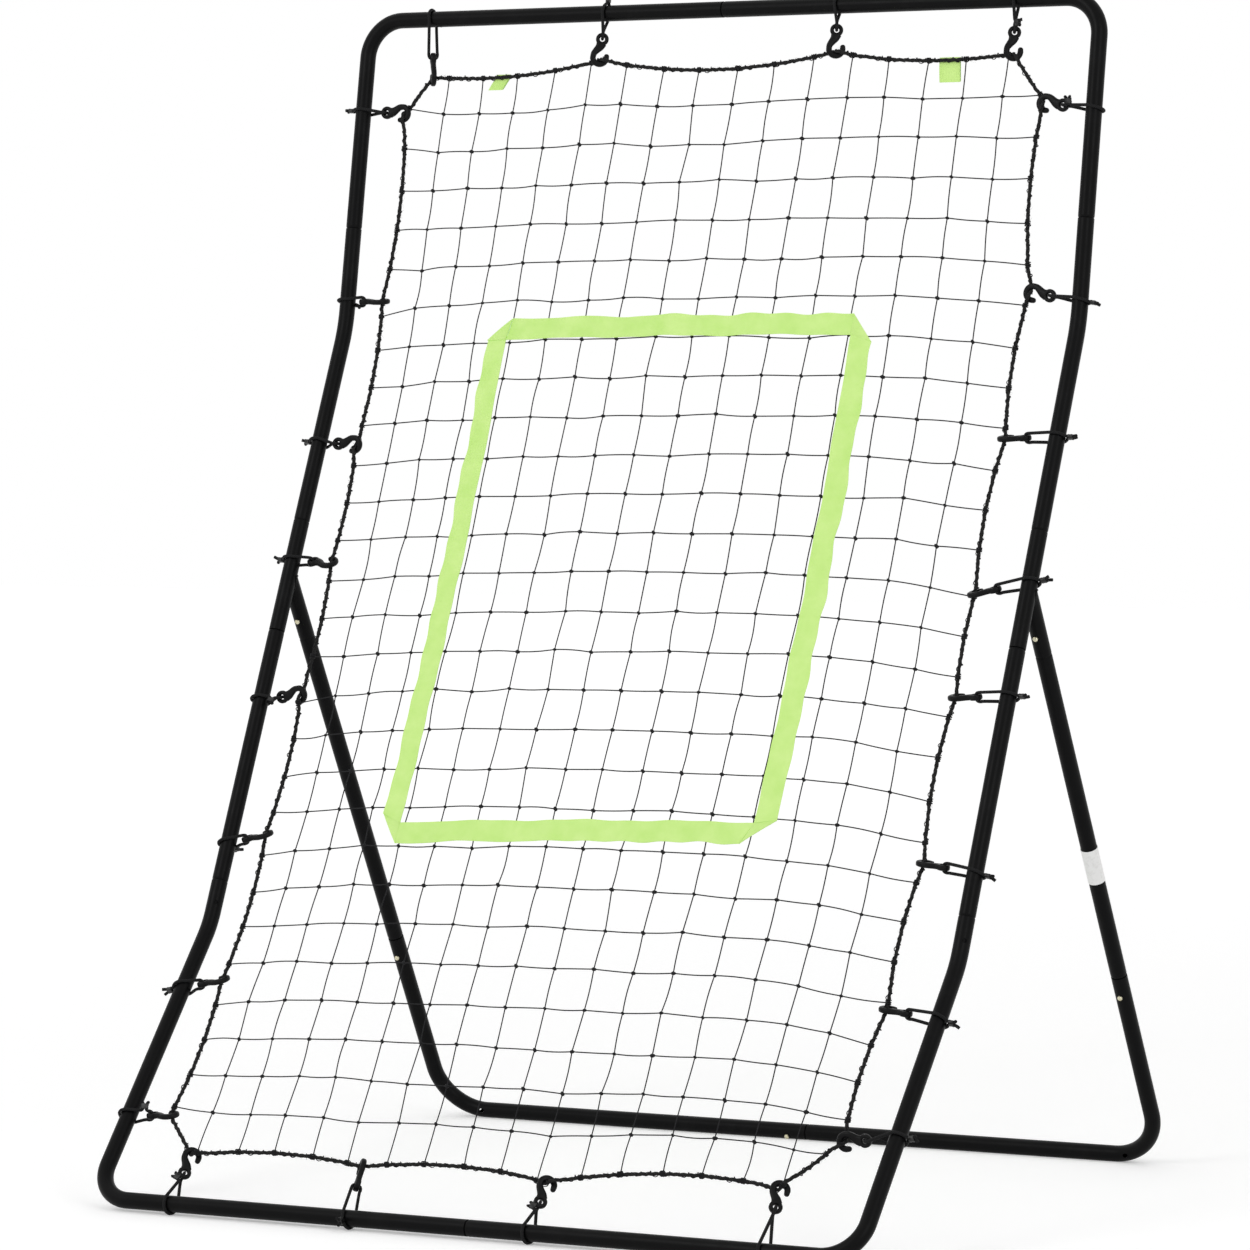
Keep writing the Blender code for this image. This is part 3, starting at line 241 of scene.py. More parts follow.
@dataclass
class Surface:
    """Computed faces: corner points, quads with their UVs, and end caps."""

    points: Array
    quads: Array
    uvs: Array
    caps: list[Array] = field(default_factory=list)

    @staticmethod
    def grid(points: Array, u: Array, v: Array, close_u: bool = False, close_v: bool = False,
             capped: bool = False) -> "Surface":
        """Surface over a grid of points.

        Args:
            points: Grid of points, rows by columns by 3.
            u: UV value of each row, with one more where the rows close.
            v: UV value of each column, with one more where the columns close.
            close_u: Whether the last row joins the first.
            close_v: Whether the last column joins the first.
            capped: Whether one face closes the first row and another the last.

        Returns:
            The quads between neighbouring grid points.
        """
        rows, columns = points.shape[:2]
        i = np.arange(rows if close_u else rows - 1)[:, None]
        j = np.arange(columns if close_v else columns - 1)[None, :]
        i_next, j_next = (i + 1) % rows, (j + 1) % columns
        quads = np.stack((i * columns + j, i_next * columns + j, i_next * columns + j_next,
                          i * columns + j_next), axis=-1).reshape(-1, 4)
        u_at, v_at = np.broadcast_arrays(u[i], v[j])
        u_to, v_to = np.broadcast_arrays(u[i + 1], v[j + 1])
        uvs = np.stack([np.stack(pair, -1) for pair in (
            (u_at, v_at), (u_to, v_at), (u_to, v_to), (u_at, v_to))], axis=-2).reshape(-1, 4, 2)
        row = np.arange(columns)
        caps = [row, row[::-1] + (rows - 1) * columns] if capped else []
        return Surface(points.reshape(-1, 3), quads, uvs, caps)

    @staticmethod
    def copies(points: Array, u: Array, v: Array, scales: Array | None = None) -> "Surface":
        """Many short tubes or balls that share one grid.

        Args:
            points: Grids of points, copies by rows by columns by 3. The columns close.
            u: UV value of each row.
            v: UV value of each column, with one more.
            scales: Pair by which each copy's UVs are multiplied.

        Returns:
            One surface with every copy.
        """
        count, rows, columns = points.shape[:3]
        one = Surface.grid(points[0], u, v, False, True)
        step = (np.arange(count) * rows * columns)[:, None, None]
        uvs = np.tile(one.uvs, (count, 1, 1, 1))
        if scales is not None:
            uvs = uvs * scales[:, None, None, :]
        return Surface(points.reshape(-1, 3), (one.quads + step).reshape(-1, 4),
                       uvs.reshape(-1, 4, 2))

    @staticmethod
    def join(surfaces: list["Surface"]) -> "Surface":
        """One surface of several.

        Args:
            surfaces: The parts, in order.

        Returns:
            Their points one after another, with the faces renumbered.
        """
        starts = np.cumsum([0] + [len(part.points) for part in surfaces[:-1]])
        caps = [cap + start for part, start in zip(surfaces, starts) for cap in part.caps]
        return Surface(np.concatenate([part.points for part in surfaces]),
                       np.concatenate([part.quads + start
                                       for part, start in zip(surfaces, starts)]),
                       np.concatenate([part.uvs for part in surfaces]), caps)

    @staticmethod
    def sweep(path: Array, section: Array, closed: bool = False,
              hint: Array | None = None) -> "Surface":
        """A section carried along a path.

        Point (i, j) is path point i plus the section's two offsets along the normal and the
        binormal there. The open ends are capped.

        Args:
            path: Points of the path.
            section: Offsets, one row of pairs for all stations or one row per station.
            closed: Whether the path closes on itself.
            hint: Rough direction of the first normal.

        Returns:
            The swept surface, with u in metres along it and v from 0 to 1 round it.
        """
        normals, binormals = carried_frames(path, closed, hint)
        section = np.broadcast_to(section, (len(path),) + section.shape[-2:])
        points = laid(path, normals, binormals, section)
        walked = lengths_along(np.concatenate((path, path[:1])) if closed else path)
        return Surface.grid(points, walked, shares(section.shape[1]), closed, True, not closed)

    def moved(self, place: Array, turn: Array) -> "Surface":
        """The surface with its local axes laid along the columns of turn, at a place."""
        return Surface(self.points @ turn.T + place, self.quads, self.uvs, self.caps)

    def to_mesh(self, name: str) -> Mesh:
        """Blender mesh with a UV map and outward faces.

        Args:
            name: Name of the mesh.

        Returns:
            The mesh.
        """
        mesh = bpy.data.meshes.new(name)
        mesh.from_pydata(self.points.tolist(), [],
                         self.quads.tolist() + [cap.tolist() for cap in self.caps])
        corner_count = sum(len(cap) for cap in self.caps)
        uvs = np.concatenate((self.uvs.reshape(-1), np.zeros(2 * corner_count)))
        mesh.uv_layers.new(name="UVMap").data.foreach_set("uv", uvs.astype(np.float32))
        work = bmesh.new()
        work.from_mesh(mesh)
        bmesh.ops.recalc_face_normals(work, faces=work.faces)
        work.to_mesh(mesh)
        work.free()
        return mesh


def round_section(radius: Array | float, sides: int) -> Array:
    """Circle of offsets: radius times (cos, sin).

    Args:
        radius: One radius, or one per station.
        sides: Points round the circle.

    Returns:
        Offsets, one row of pairs per radius.
    """
    turns = np.arange(sides) * 2 * math.pi / sides
    circle = np.stack((np.cos(turns), np.sin(turns)), axis=-1)
    return np.asarray(radius, float).reshape(-1, 1, 1) * circle


def soft_box_section(across: Array | float, thick: Array | float, sides: int,
                     power: float = 0.55) -> Array:
    """Rounded rectangle of offsets: each half size times its cosine or sine to a power below one.

    Args:
        across: Half size along the first direction, one or one per station.
        thick: Half size along the second.
        sides: Points round it.
        power: The power; the lower, the sharper the corners.

    Returns:
        Offsets, one row of pairs per station.
    """
    turns = (np.arange(sides) + 0.5) * 2 * math.pi / sides
    c, s = np.cos(turns), np.sin(turns)
    shape = np.stack((np.sign(c) * np.abs(c) ** power, np.sign(s) * np.abs(s) ** power), axis=-1)
    sizes = np.stack((np.asarray(across, float).reshape(-1), np.asarray(thick, float).reshape(-1)),
                     axis=-1)
    return sizes[:, None, :] * shape


def placed(name: str, data: bpy.types.ID) -> bpy.types.Object:
    """New object in the scene.

    Args:
        name: Its name.
        data: The mesh, light or camera that it holds.

    Returns:
        The object.
    """
    made = bpy.data.objects.new(name, data)
    bpy.context.scene.collection.objects.link(made)
    return made


def add_piece(name: str, mesh: Mesh, material: Material,
              body: str = FRAME_BODY, replaces: tuple[str, ...] = (),
              sharp: float = 40.0) -> bpy.types.Object:
    """Puts a finished mesh in the scene, on its body and in its material slot.

    Args:
        name: Piece name.
        mesh: Finished mesh, in its place.
        material: Finish.
        body: CAD body that carries the piece.
        replaces: CAD nodes that the piece stands for.
        sharp: Angle in degrees past which an edge stays sharp.

    Returns:
        The new object.
    """
    mesh.name = name
    mesh.materials.clear()
    mesh.materials.append(material)
    mesh.shade_smooth()
    mesh.set_sharp_from_angle(angle=math.radians(sharp))
    piece = placed(name, mesh)
    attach(piece, body)
    if replaces:
        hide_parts(*replaces)
    LOG.info("%s: %d faces", name, len(mesh.polygons))
    return piece


def cut_mesh(mesh: Mesh, cutters: list[Mesh]) -> Mesh:
    """Mesh less each cutter in turn.

    Args:
        mesh: Closed mesh to cut.
        cutters: Closed meshes to take away.

    Returns:
        The cut mesh.
    """
    for cutter in cutters:
        body, tool = placed("cut_body", mesh), placed("cut_tool", cutter)
        step = body.modifiers.new("cut", "BOOLEAN")
        step.operation = "DIFFERENCE"
        step.solver = "EXACT"
        step.object = tool
        bpy.context.view_layer.update()
        result = body.evaluated_get(bpy.context.evaluated_depsgraph_get())
        mesh = bpy.data.meshes.new_from_object(result)
        for item in (body, tool):
            bpy.data.objects.remove(item, do_unlink=True)
    return mesh


def rod(start: Array, end: Array, radius: float, sides: int = 24) -> Surface:
    """Closed cylinder from start to end."""
    return Surface.sweep(np.stack((start, end)), round_section(radius, sides),
                         hint=np.array((0.3, 0.5, 0.8)))


# Finishes

def add_node(tree: bpy.types.NodeTree, kind: str, inputs: dict[str | int, object] | None = None,
             **settings: object) -> Node:
    """Adds a node to a tree.

    Args:
        tree: The tree.
        kind: Node type after the ShaderNode prefix.
        inputs: Values or sockets for its inputs.
        **settings: Properties of the node.

    Returns:
        The node.
    """
    made = tree.nodes.new("ShaderNode" + kind)
    for key, value in settings.items():
        setattr(made, key, value)
    for key, value in (inputs or {}).items():
        if isinstance(value, Socket):
            tree.links.new(value, made.inputs[key])
        else:
            made.inputs[key].default_value = value
    return made


def seen_rays(tree: bpy.types.NodeTree) -> Socket:
    """Socket that is 1 for rays from the camera, gloss and glass, and 0 for others.

    Args:
        tree: Tree that gets the nodes.

    Returns:
        The socket.
    """
    rays = add_node(tree, "LightPath").outputs
    share = rays["Is Camera Ray"]
    for name in ("Is Glossy Ray", "Is Transmission Ray"):
        share = add_node(tree, "Math", {0: share, 1: rays[name]}, operation="MAXIMUM").outputs[0]
    return share


class NodeBoard:
    """Builds one material's nodes round its Principled shader."""

    def __init__(self, name: str) -> None:
        """Makes the material with its shader and output.

        Args:
            name: Name of the material.
        """
        self.material = bpy.data.materials.new(name)
        self.material.use_nodes = True
        self.tree = self.material.node_tree
        self.shader = self.tree.nodes["Principled BSDF"]

    def node(self, kind: str, inputs: dict[str | int, object] | None = None,
             **settings: object) -> Node:
        """Adds a node to the material, as add_node does."""
        return add_node(self.tree, kind, inputs, **settings)

    def place(self, kind: str = "Object",
              scale: Triple = (1.0, 1.0, 1.0)) -> Socket:
        """Coordinates of the surface, stretched by a scale."""
        source = self.node("TexCoord").outputs[kind]
        return self.node("Mapping", {"Vector": source, "Scale": scale}).outputs["Vector"]

    def noise(self, where: Socket, scale: float, detail: float = 3.0,
              roughness: float = 0.55) -> Socket:
        """Noise from 0 to 1."""
        inputs = {"Vector": where, "Scale": scale, "Detail": detail, "Roughness": roughness}
        return self.node("TexNoise", inputs).outputs["Fac"]

    def waves(self, where: Socket, direction: str = "X", distortion: float = 0.0,
              scale: float = 1.0) -> Socket:
        """Smooth bands across one axis, or along the diagonal."""
        inputs = {"Vector": where, "Scale": scale, "Distortion": distortion, "Detail": 1.0}
        return self.node("TexWave", inputs, wave_type="BANDS", bands_direction=direction,
                         wave_profile="SIN").outputs["Fac"]

    def ranged(self, value: Socket, low: float, high: float, start: float = 0.0,
               end: float = 1.0) -> Socket:
        """Value carried from start..end to low..high, held at the ends."""
        inputs = {"Value": value, "From Min": start, "From Max": end, "To Min": low, "To Max": high}
        return self.node("MapRange", inputs).outputs["Result"]

    def mixed(self, share: Socket, first: tuple[float, ...] | Socket,
              second: tuple[float, ...] | Socket) -> Socket:
        """Blend of two colours.

        Args:
            share: Share of the second colour.
            first: Colour at 0.
            second: Colour at 1.

        Returns:
            The blend.
        """
        made = self.node("Mix", data_type="RGBA")
        self.tree.links.new(share, made.inputs[0])
        for index, colour in ((6, first), (7, second)):
            if isinstance(colour, Socket):
                self.tree.links.new(colour, made.inputs[index])
            else:
                made.inputs[index].default_value = (*colour, 1.0)
        return made.outputs[2]

    def sum(self, operation: str, first: Socket | float, second: Socket | float) -> Socket:
        """Arithmetic on two values."""
        return self.node("Math", {0: first, 1: second}, operation=operation).outputs[0]

    def finish(self, colour: Socket, roughness: Socket, height: Socket, depth: float,
               strength: float = 1.0, **fixed: object) -> Material:
        """Joins colour, roughness and relief to the shader and sets its fixed sockets.

        Args:
            colour: Base colour.
            roughness: Roughness.
            height: Relief from 0 to 1.
            depth: Height of the relief in metres.
            strength: Strength of the relief.
            **fixed: Values of further sockets, spaces written as underscores.

        Returns:
            The finished material.
        """
        bump = self.node("Bump", {"Height": height, "Distance": depth, "Strength": strength})
        for key, socket in (("Base Color", colour), ("Roughness", roughness),
                            ("Normal", bump.outputs[0])):
            self.tree.links.new(socket, self.shader.inputs[key])
        for key, value in fixed.items():
            self.shader.inputs[key.replace("_", " ")].default_value = value
        return self.material


@dataclass(frozen=True)
class TubePaint:
    """Glossy black powder coat with faint orange peel and handling scuffs."""

    dark: Triple = (0.0022, 0.0022, 0.0024)
    worn: Triple = (0.0055, 0.0055, 0.0058)

    def build(self) -> Material:
        """Makes the material.

        Returns:
            The material.
        """
        board = NodeBoard("tube_paint")
        where = board.place()
        scuffs = board.ranged(board.noise(where, 26.0, 6.0, 0.7), 0.0, 1.0, 0.52, 0.78)
        peel = board.noise(where, 900.0, 2.0)
        colour = board.mixed(scuffs, self.dark, self.worn)
        roughness = board.ranged(board.noise(where, 60.0, 4.0), 0.32, 0.44, 0.3, 0.7)
        return board.finish(colour, roughness, peel, 0.00003, 0.3, Specular_IOR_Level=0.08)


@dataclass(frozen=True)
class NetTwine:
    """Black laid twine, with a sheen painted lighter on the crests of its turns and painted shade
    between them.
    """

    # dark is the painted shade between the turns, light the painted highlight on their crests.
    dark: Triple = (0.006, 0.006, 0.0065)
    light: Triple = (0.030, 0.030, 0.033)

    def build(self) -> Material:
        """Makes the material.

        Returns:
            The material.
        """
        board = NodeBoard("net_twine")
        turns = board.waves(board.place("UV", (420.0, 1.0, 1.0)), "DIAGONAL", 0.4)
        fluff = board.noise(board.place(), 1800.0, 2.0)
        height = board.sum("ADD", board.sum("MULTIPLY", turns, 0.7),
                           board.sum("MULTIPLY", fluff, 0.3))
        # Painted highlight and shade: the colour follows the twist's relief, times the fluff noise.
        colour = board.mixed(board.sum("MULTIPLY", turns, fluff), self.dark, self.light)
        roughness = board.ranged(fluff, 0.6, 0.9, 0.3, 0.7)
        return board.finish(colour, roughness, height, 0.0002, 0.8, Specular_IOR_Level=0.15,
                            Sheen_Weight=0.03)


@dataclass(frozen=True)
class BraidedRope:
    """Matt black plaited rope with frayed fibres; painted highlight on its raised plait, painted
    shade in its grooves.
    """

    # dark is the painted shade in the grooves, light the painted highlight on the raised plait.
    dark: Triple = (0.004, 0.004, 0.0042)
    light: Triple = (0.040, 0.039, 0.037)
    name: str = "braided_rope"

    def build(self) -> Material:
        """Makes the material.

        Returns:
            The material.
        """
        board = NodeBoard(self.name)
        there = board.waves(board.place("UV", (140.0, 3.0, 1.0)), "DIAGONAL", 0.6)
        back = board.waves(board.place("UV", (-140.0, 3.0, 1.0)), "DIAGONAL", 0.6)
        plait = board.sum("MAXIMUM", there, back)
        fluff = board.noise(board.place(), 1500.0, 4.0, 0.7)
        height = board.sum("ADD", board.sum("MULTIPLY", plait, 0.6),
                           board.sum("MULTIPLY", fluff, 0.4))
        # Painted highlight and shade: the colour is taken from the relief's height, lighter where
        # it stands high.
        colour = board.mixed(board.ranged(height, 0.0, 1.0, 0.45, 1.0), self.dark, self.light)
        roughness = board.ranged(fluff, 0.75, 0.98, 0.3, 0.7)
        return board.finish(colour, roughness, height, 0.0004, 1.0, Specular_IOR_Level=0.15,
                            Sheen_Weight=0.04)


@dataclass(frozen=True)
class WovenRibbon:
    """Yellow-green plain-weave ribbon with ribs across it, a painted highlight on the raised weave
    and random blotches of tone.
    """

    # bright is partly the painted highlight of the raised weave, partly the lighter side of random
    # tone blotches.
    deep: Triple = (0.50, 0.84, 0.16)
    bright: Triple = (0.68, 0.95, 0.30)

    def build(self) -> Material:
        """Makes the material.

        Returns:
            The material.
        """
        board = NodeBoard("woven_ribbon")
        ribs = board.waves(board.place("UV", (320.0, 1.0, 1.0)), "X", 0.5)
        yarns = board.waves(board.place("UV", (1.0, 420.0, 1.0)), "Y", 0.3)
        weave = board.sum("MULTIPLY", board.sum("ADD", ribs, yarns), 0.5)
        shade = board.noise(board.place(), 38.0, 3.0)
        # Partly painted highlight and shade: a share of the colour follows the weave's relief; the
        # rest is random blotches of tone.
        share = board.sum("ADD", board.sum("MULTIPLY", weave, 0.35),
                          board.ranged(shade, 0.25, 0.75, 0.3, 0.7))
        colour = board.mixed(share, self.deep, self.bright)
        roughness = board.ranged(weave, 0.5, 0.7)
        return board.finish(colour, roughness, weave, 0.00015, 0.7, Sheen_Weight=0.1, Alpha=0.90)


@dataclass(frozen=True)
class HookPlastic:
    """Black moulded plastic with a dull skin."""

    dark: Triple = (0.0022, 0.0022, 0.0024)
    light: Triple = (0.0075, 0.0075, 0.0078)

    def build(self) -> Material:
        """Makes the material.

        Returns:
            The material.
        """
        board = NodeBoard("hook_plastic")
        where = board.place()
        skin = board.noise(where, 420.0, 3.0)
        colour = board.mixed(board.ranged(board.noise(where, 90.0, 4.0), 0.0, 1.0, 0.45, 0.8),
                             self.dark, self.light)
        roughness = board.ranged(skin, 0.32, 0.5, 0.3, 0.7)
        return board.finish(colour, roughness, skin, 0.0001, 0.4, Specular_IOR_Level=0.12)


@dataclass(frozen=True)
class ElasticSheath:
    """Black braided sheath of a stretched elastic cord, with a painted highlight on its braid's
    crests and painted shade in the grooves.
    """

    # dark is the painted shade in the braid's grooves, light the painted highlight on its crests.
    dark: Triple = (0.0035, 0.0035, 0.0038)
    light: Triple = (0.024, 0.024, 0.025)

    def build(self) -> Material:
        """Makes the material.

        Returns:
            The material.
        """
        board = NodeBoard("elastic_sheath")
        there = board.waves(board.place("UV", (260.0, 4.0, 1.0)), "DIAGONAL", 0.1)
        back = board.waves(board.place("UV", (-260.0, 4.0, 1.0)), "DIAGONAL", 0.1)
        braid = board.sum("MULTIPLY", there, back)
        fluff = board.noise(board.place(), 2200.0, 2.0)
        # Painted highlight and shade: the colour follows the braid's relief.
        colour = board.mixed(braid, self.dark, self.light)
        roughness = board.ranged(fluff, 0.62, 0.85, 0.3, 0.7)
        return board.finish(colour, roughness, braid, 0.0002, 0.8, Specular_IOR_Level=0.15)


@dataclass(frozen=True)
class PlatedMetal:
    """Plated spring steel with fine rubbing marks."""

    name: str
    dark: Triple
    light: Triple
    smooth: float = 0.25

    def build(self) -> Material:
        """Makes the material.

        Returns:
            The material.
        """
        board = NodeBoard(self.name)
        marks = board.noise(board.place("Object", (400.0, 2600.0, 400.0)), 1.0, 4.0)
        tone = board.noise(board.place(), 240.0, 3.0)
        colour = board.mixed(board.ranged(tone, 0.0, 1.0, 0.3, 0.7), self.dark, self.light)
        roughness = board.ranged(marks, self.smooth, self.smooth + 0.18, 0.3, 0.7)
        return board.finish(colour, roughness, marks, 0.00003, 0.3, Metallic=1.0)


@dataclass(frozen=True)
class LabelFilm:
    """Blank white film, a little dusty in random patches."""

    clean: Triple = (0.86, 0.86, 0.85)
    dusty: Triple = (0.70, 0.70, 0.68)

    def build(self) -> Material:
        """Makes the material.

        Returns:
            The material.
        """
        board = NodeBoard("label_film")
        where = board.place()
        dust = board.ranged(board.noise(where, 160.0, 5.0, 0.65), 0.0, 1.0, 0.5, 0.8)
        roughness = board.ranged(dust, 0.3, 0.5)
        return board.finish(board.mixed(dust, self.clean, self.dusty), roughness,
                            board.noise(where, 300.0, 2.0), 0.00005, 0.3)


@dataclass(frozen=True)
class Finishes:
    """The finished materials of the net, frame and stand."""

    tube: Material
    twine: Material
    rope: Material
    ribbon: Material
    hook: Material
    elastic: Material
    zinc: Material
    crimp: Material
    label: Material

    @staticmethod
    def build() -> "Finishes":
        """Makes every material once."""
        return Finishes(
            TubePaint().build(), NetTwine().build(), BraidedRope().build(), WovenRibbon().build(),
            HookPlastic().build(), ElasticSheath().build(),
            PlatedMetal("zinc_button", (0.50, 0.46, 0.30), (0.80, 0.76, 0.58)).build(),
            PlatedMetal("dark_crimp", (0.02, 0.02, 0.02), (0.07, 0.07, 0.07), 0.35).build(),
            LabelFilm().build())


# Rail, frame and stand

@dataclass(frozen=True)
class RailShape:
    """Side rail and leg lines, from the same sizes as the CAD part."""

    tube_radius: float = 0.0095
    wall: float = 0.001
    width: float = 0.980
    runs: tuple[Pair, ...] = ((0.377, 41.1), (0.761, 25.1), (0.375, 11.1))
    bar_height: float = (0.0095 + 0.0004 + 0.0016
                         + 0.0016 * math.cos(math.pi / 4) * math.cos(math.pi / 6))
    floor_height: float = 0.0095 * math.cos(math.pi / 12)
    stand_on_rail: float = 0.377 + 0.438
    stand_reach: float = 0.3289

    @property
    def length(self) -> float:
        """Length of the rail from the front bar to the top bar."""
        return sum(run for run, _ in self.runs)

    @property
    def half_width(self) -> float:
        """Distance of a side rail's axis from the middle."""
        return self.width / 2

    def point(self, distance: float, x: float = 0.0) -> Array:
        """Point on the rail's axis: each run walked along its own lean in turn.

        Args:
            distance: Distance from the front bar.
            x: Place across.

        Returns:
            The point.
        """
        place = np.array((x, 0.0, self.bar_height))
        for index, (run, lean) in enumerate(self.runs):
            step = distance if index == len(self.runs) - 1 else min(distance, run)
            turn = math.radians(lean)
            place += step * np.array((0.0, math.sin(turn), math.cos(turn)))
            distance -= step
            if distance <= 0.0:
                break
        return place

    def direction(self, distance: float) -> Array:
        """Direction up the rail.

        Args:
            distance: Distance from the front bar.

        Returns:
            Unit vector.
        """
        ends = np.cumsum([run for run, _ in self.runs])
        index = min(int(np.searchsorted(ends, distance - 1e-9)), len(self.runs) - 1)
        turn = math.radians(self.runs[index][1])
        return np.array((0.0, math.sin(turn), math.cos(turn)))

    @property
    def leg_vector(self) -> Array:
        """From a leg's top on the rail's axis to the crossbar's axis."""
        return np.array((0.0, self.stand_reach,
                         self.floor_height - self.point(self.stand_on_rail)[2]))

    def leg_point(self, distance: float, x: float = 0.0) -> Array:
        """Point on a leg's axis at a distance from the rail's axis."""
        return self.point(self.stand_on_rail, x) + unit(self.leg_vector) * distance

    @property
    def leg_length(self) -> float:
        """Distance from rail axis to crossbar axis."""
        return float(np.linalg.norm(self.leg_vector))

    @property
    def leg_front(self) -> Array:
        """Direction square to the leg, to the front and down."""
        down = unit(self.leg_vector)
        return np.array((0.0, down[2], -down[1]))


class TubeEnd(Enum):
    """How a tube ends."""

    OPEN = "open"
    SWAGED = "swaged"


@dataclass(frozen=True)
class HollowTube:
    """One tube as a closed shell: its outside up one way, its bore back the other.

    The shell is a set of rings, each a distance along the path and a radius. A swaged end has a
    rolled shoulder and a narrower nose that runs on past the seam.
    """

    name: str
    corners: Array
    radii: tuple[float, ...] = ()
    steps: tuple[int, ...] = ()
    start: TubeEnd = TubeEnd.OPEN
    end: TubeEnd = TubeEnd.OPEN
    radius: float = 0.0095
    wall: float = 0.001
    nose_radius: float = 0.0081
    nose_length: float = 0.035
    end_room: float = 0.006
    sides: int = 36

    def _end_rings(self, kind: TubeEnd) -> tuple[Array, Array]:
        """Outer and inner rings of one end, as distances beyond the seam and radii.

        Args:
            kind: How the tube ends.

        Returns:
            Outer rings towards the end, and inner rings back from it.
        """
        r, wall = self.radius, self.wall
        if kind is TubeEnd.OPEN:
            return (np.array(((-0.0010, r), (-0.00025, r), (-0.00006, r - 0.0001),
                              (0.0, r - 0.0003))),
                    np.array(((0.0, r - wall + 0.0001), (-0.0003, r - wall), (-0.001, r - wall))))
        n, length = self.nose_radius, self.nose_length
        return (np.array(((-0.0032, r), (-0.0020, r - 0.0001), (-0.0010, r - 0.0004),
                          (-0.0001, n + 0.0004), (0.0009, n), (length - 0.0006, n),
                          (length - 0.0001, n - 0.0002))),
                np.array(((length, n - wall + 0.0001), (length - 0.0008, n - wall),
                          (-0.001, n - wall), (-0.004, r - wall))))

    def surface(self) -> Surface:
        """The tube's shell.

        Ring centres lie on the path at the ring's distance, with the path's cross directions there.

        Returns:
            A closed surface.
        """
        path = rounded_path(self.corners, self.radii, self.steps)
        walked = lengths_along(path)
        total = walked[-1]
        middle = walked[(walked > self.end_room) & (walked < total - self.end_room), None]
        outside, bore = (np.hstack((middle, np.full_like(middle, radius)))
                         for radius in (self.radius, self.radius - self.wall))
        outer_start, inner_start = (rings[::-1] * (-1.0, 1.0)
                                    for rings in self._end_rings(self.start))
        outer_end, inner_end = (rings + (total, 0.0) for rings in self._end_rings(self.end))
        outer = np.concatenate((outer_start, outside, outer_end))
        inner = np.concatenate((inner_end, bore[::-1], inner_start))
        along = np.sort(outer[:, 0], kind="stable")
        frames = carried_frames(at_lengths(path, along), hint=np.array((0.2, 0.7, 0.68)))
        rings = np.concatenate((outer, inner))
        across, other = (
            unit(np.stack([np.interp(rings[:, 0], along, part[:, axis]) for axis in range(3)], 1))
            for part in frames)
        points = laid(at_lengths(path, rings[:, 0]), across, other,
                      round_section(rings[:, 1], self.sides))
        around = np.append(rings[:, 0], rings[0, 0])
        return Surface.grid(points, around, shares(self.sides), True, True)


@dataclass(frozen=True)
class Hole:
    """Round hole through a tube's wall, one way or right through."""

    centre: Array
    direction: Array
    diameter: float
    through: bool = False
    reach: float = 0.019

    def cutter(self) -> Mesh:
        """Closed rod that cuts the hole."""
        out = self.reach * unit(self.direction)
        return rod(self.centre - out * self.through, self.centre + out,
                   self.diameter / 2).to_mesh("hole")


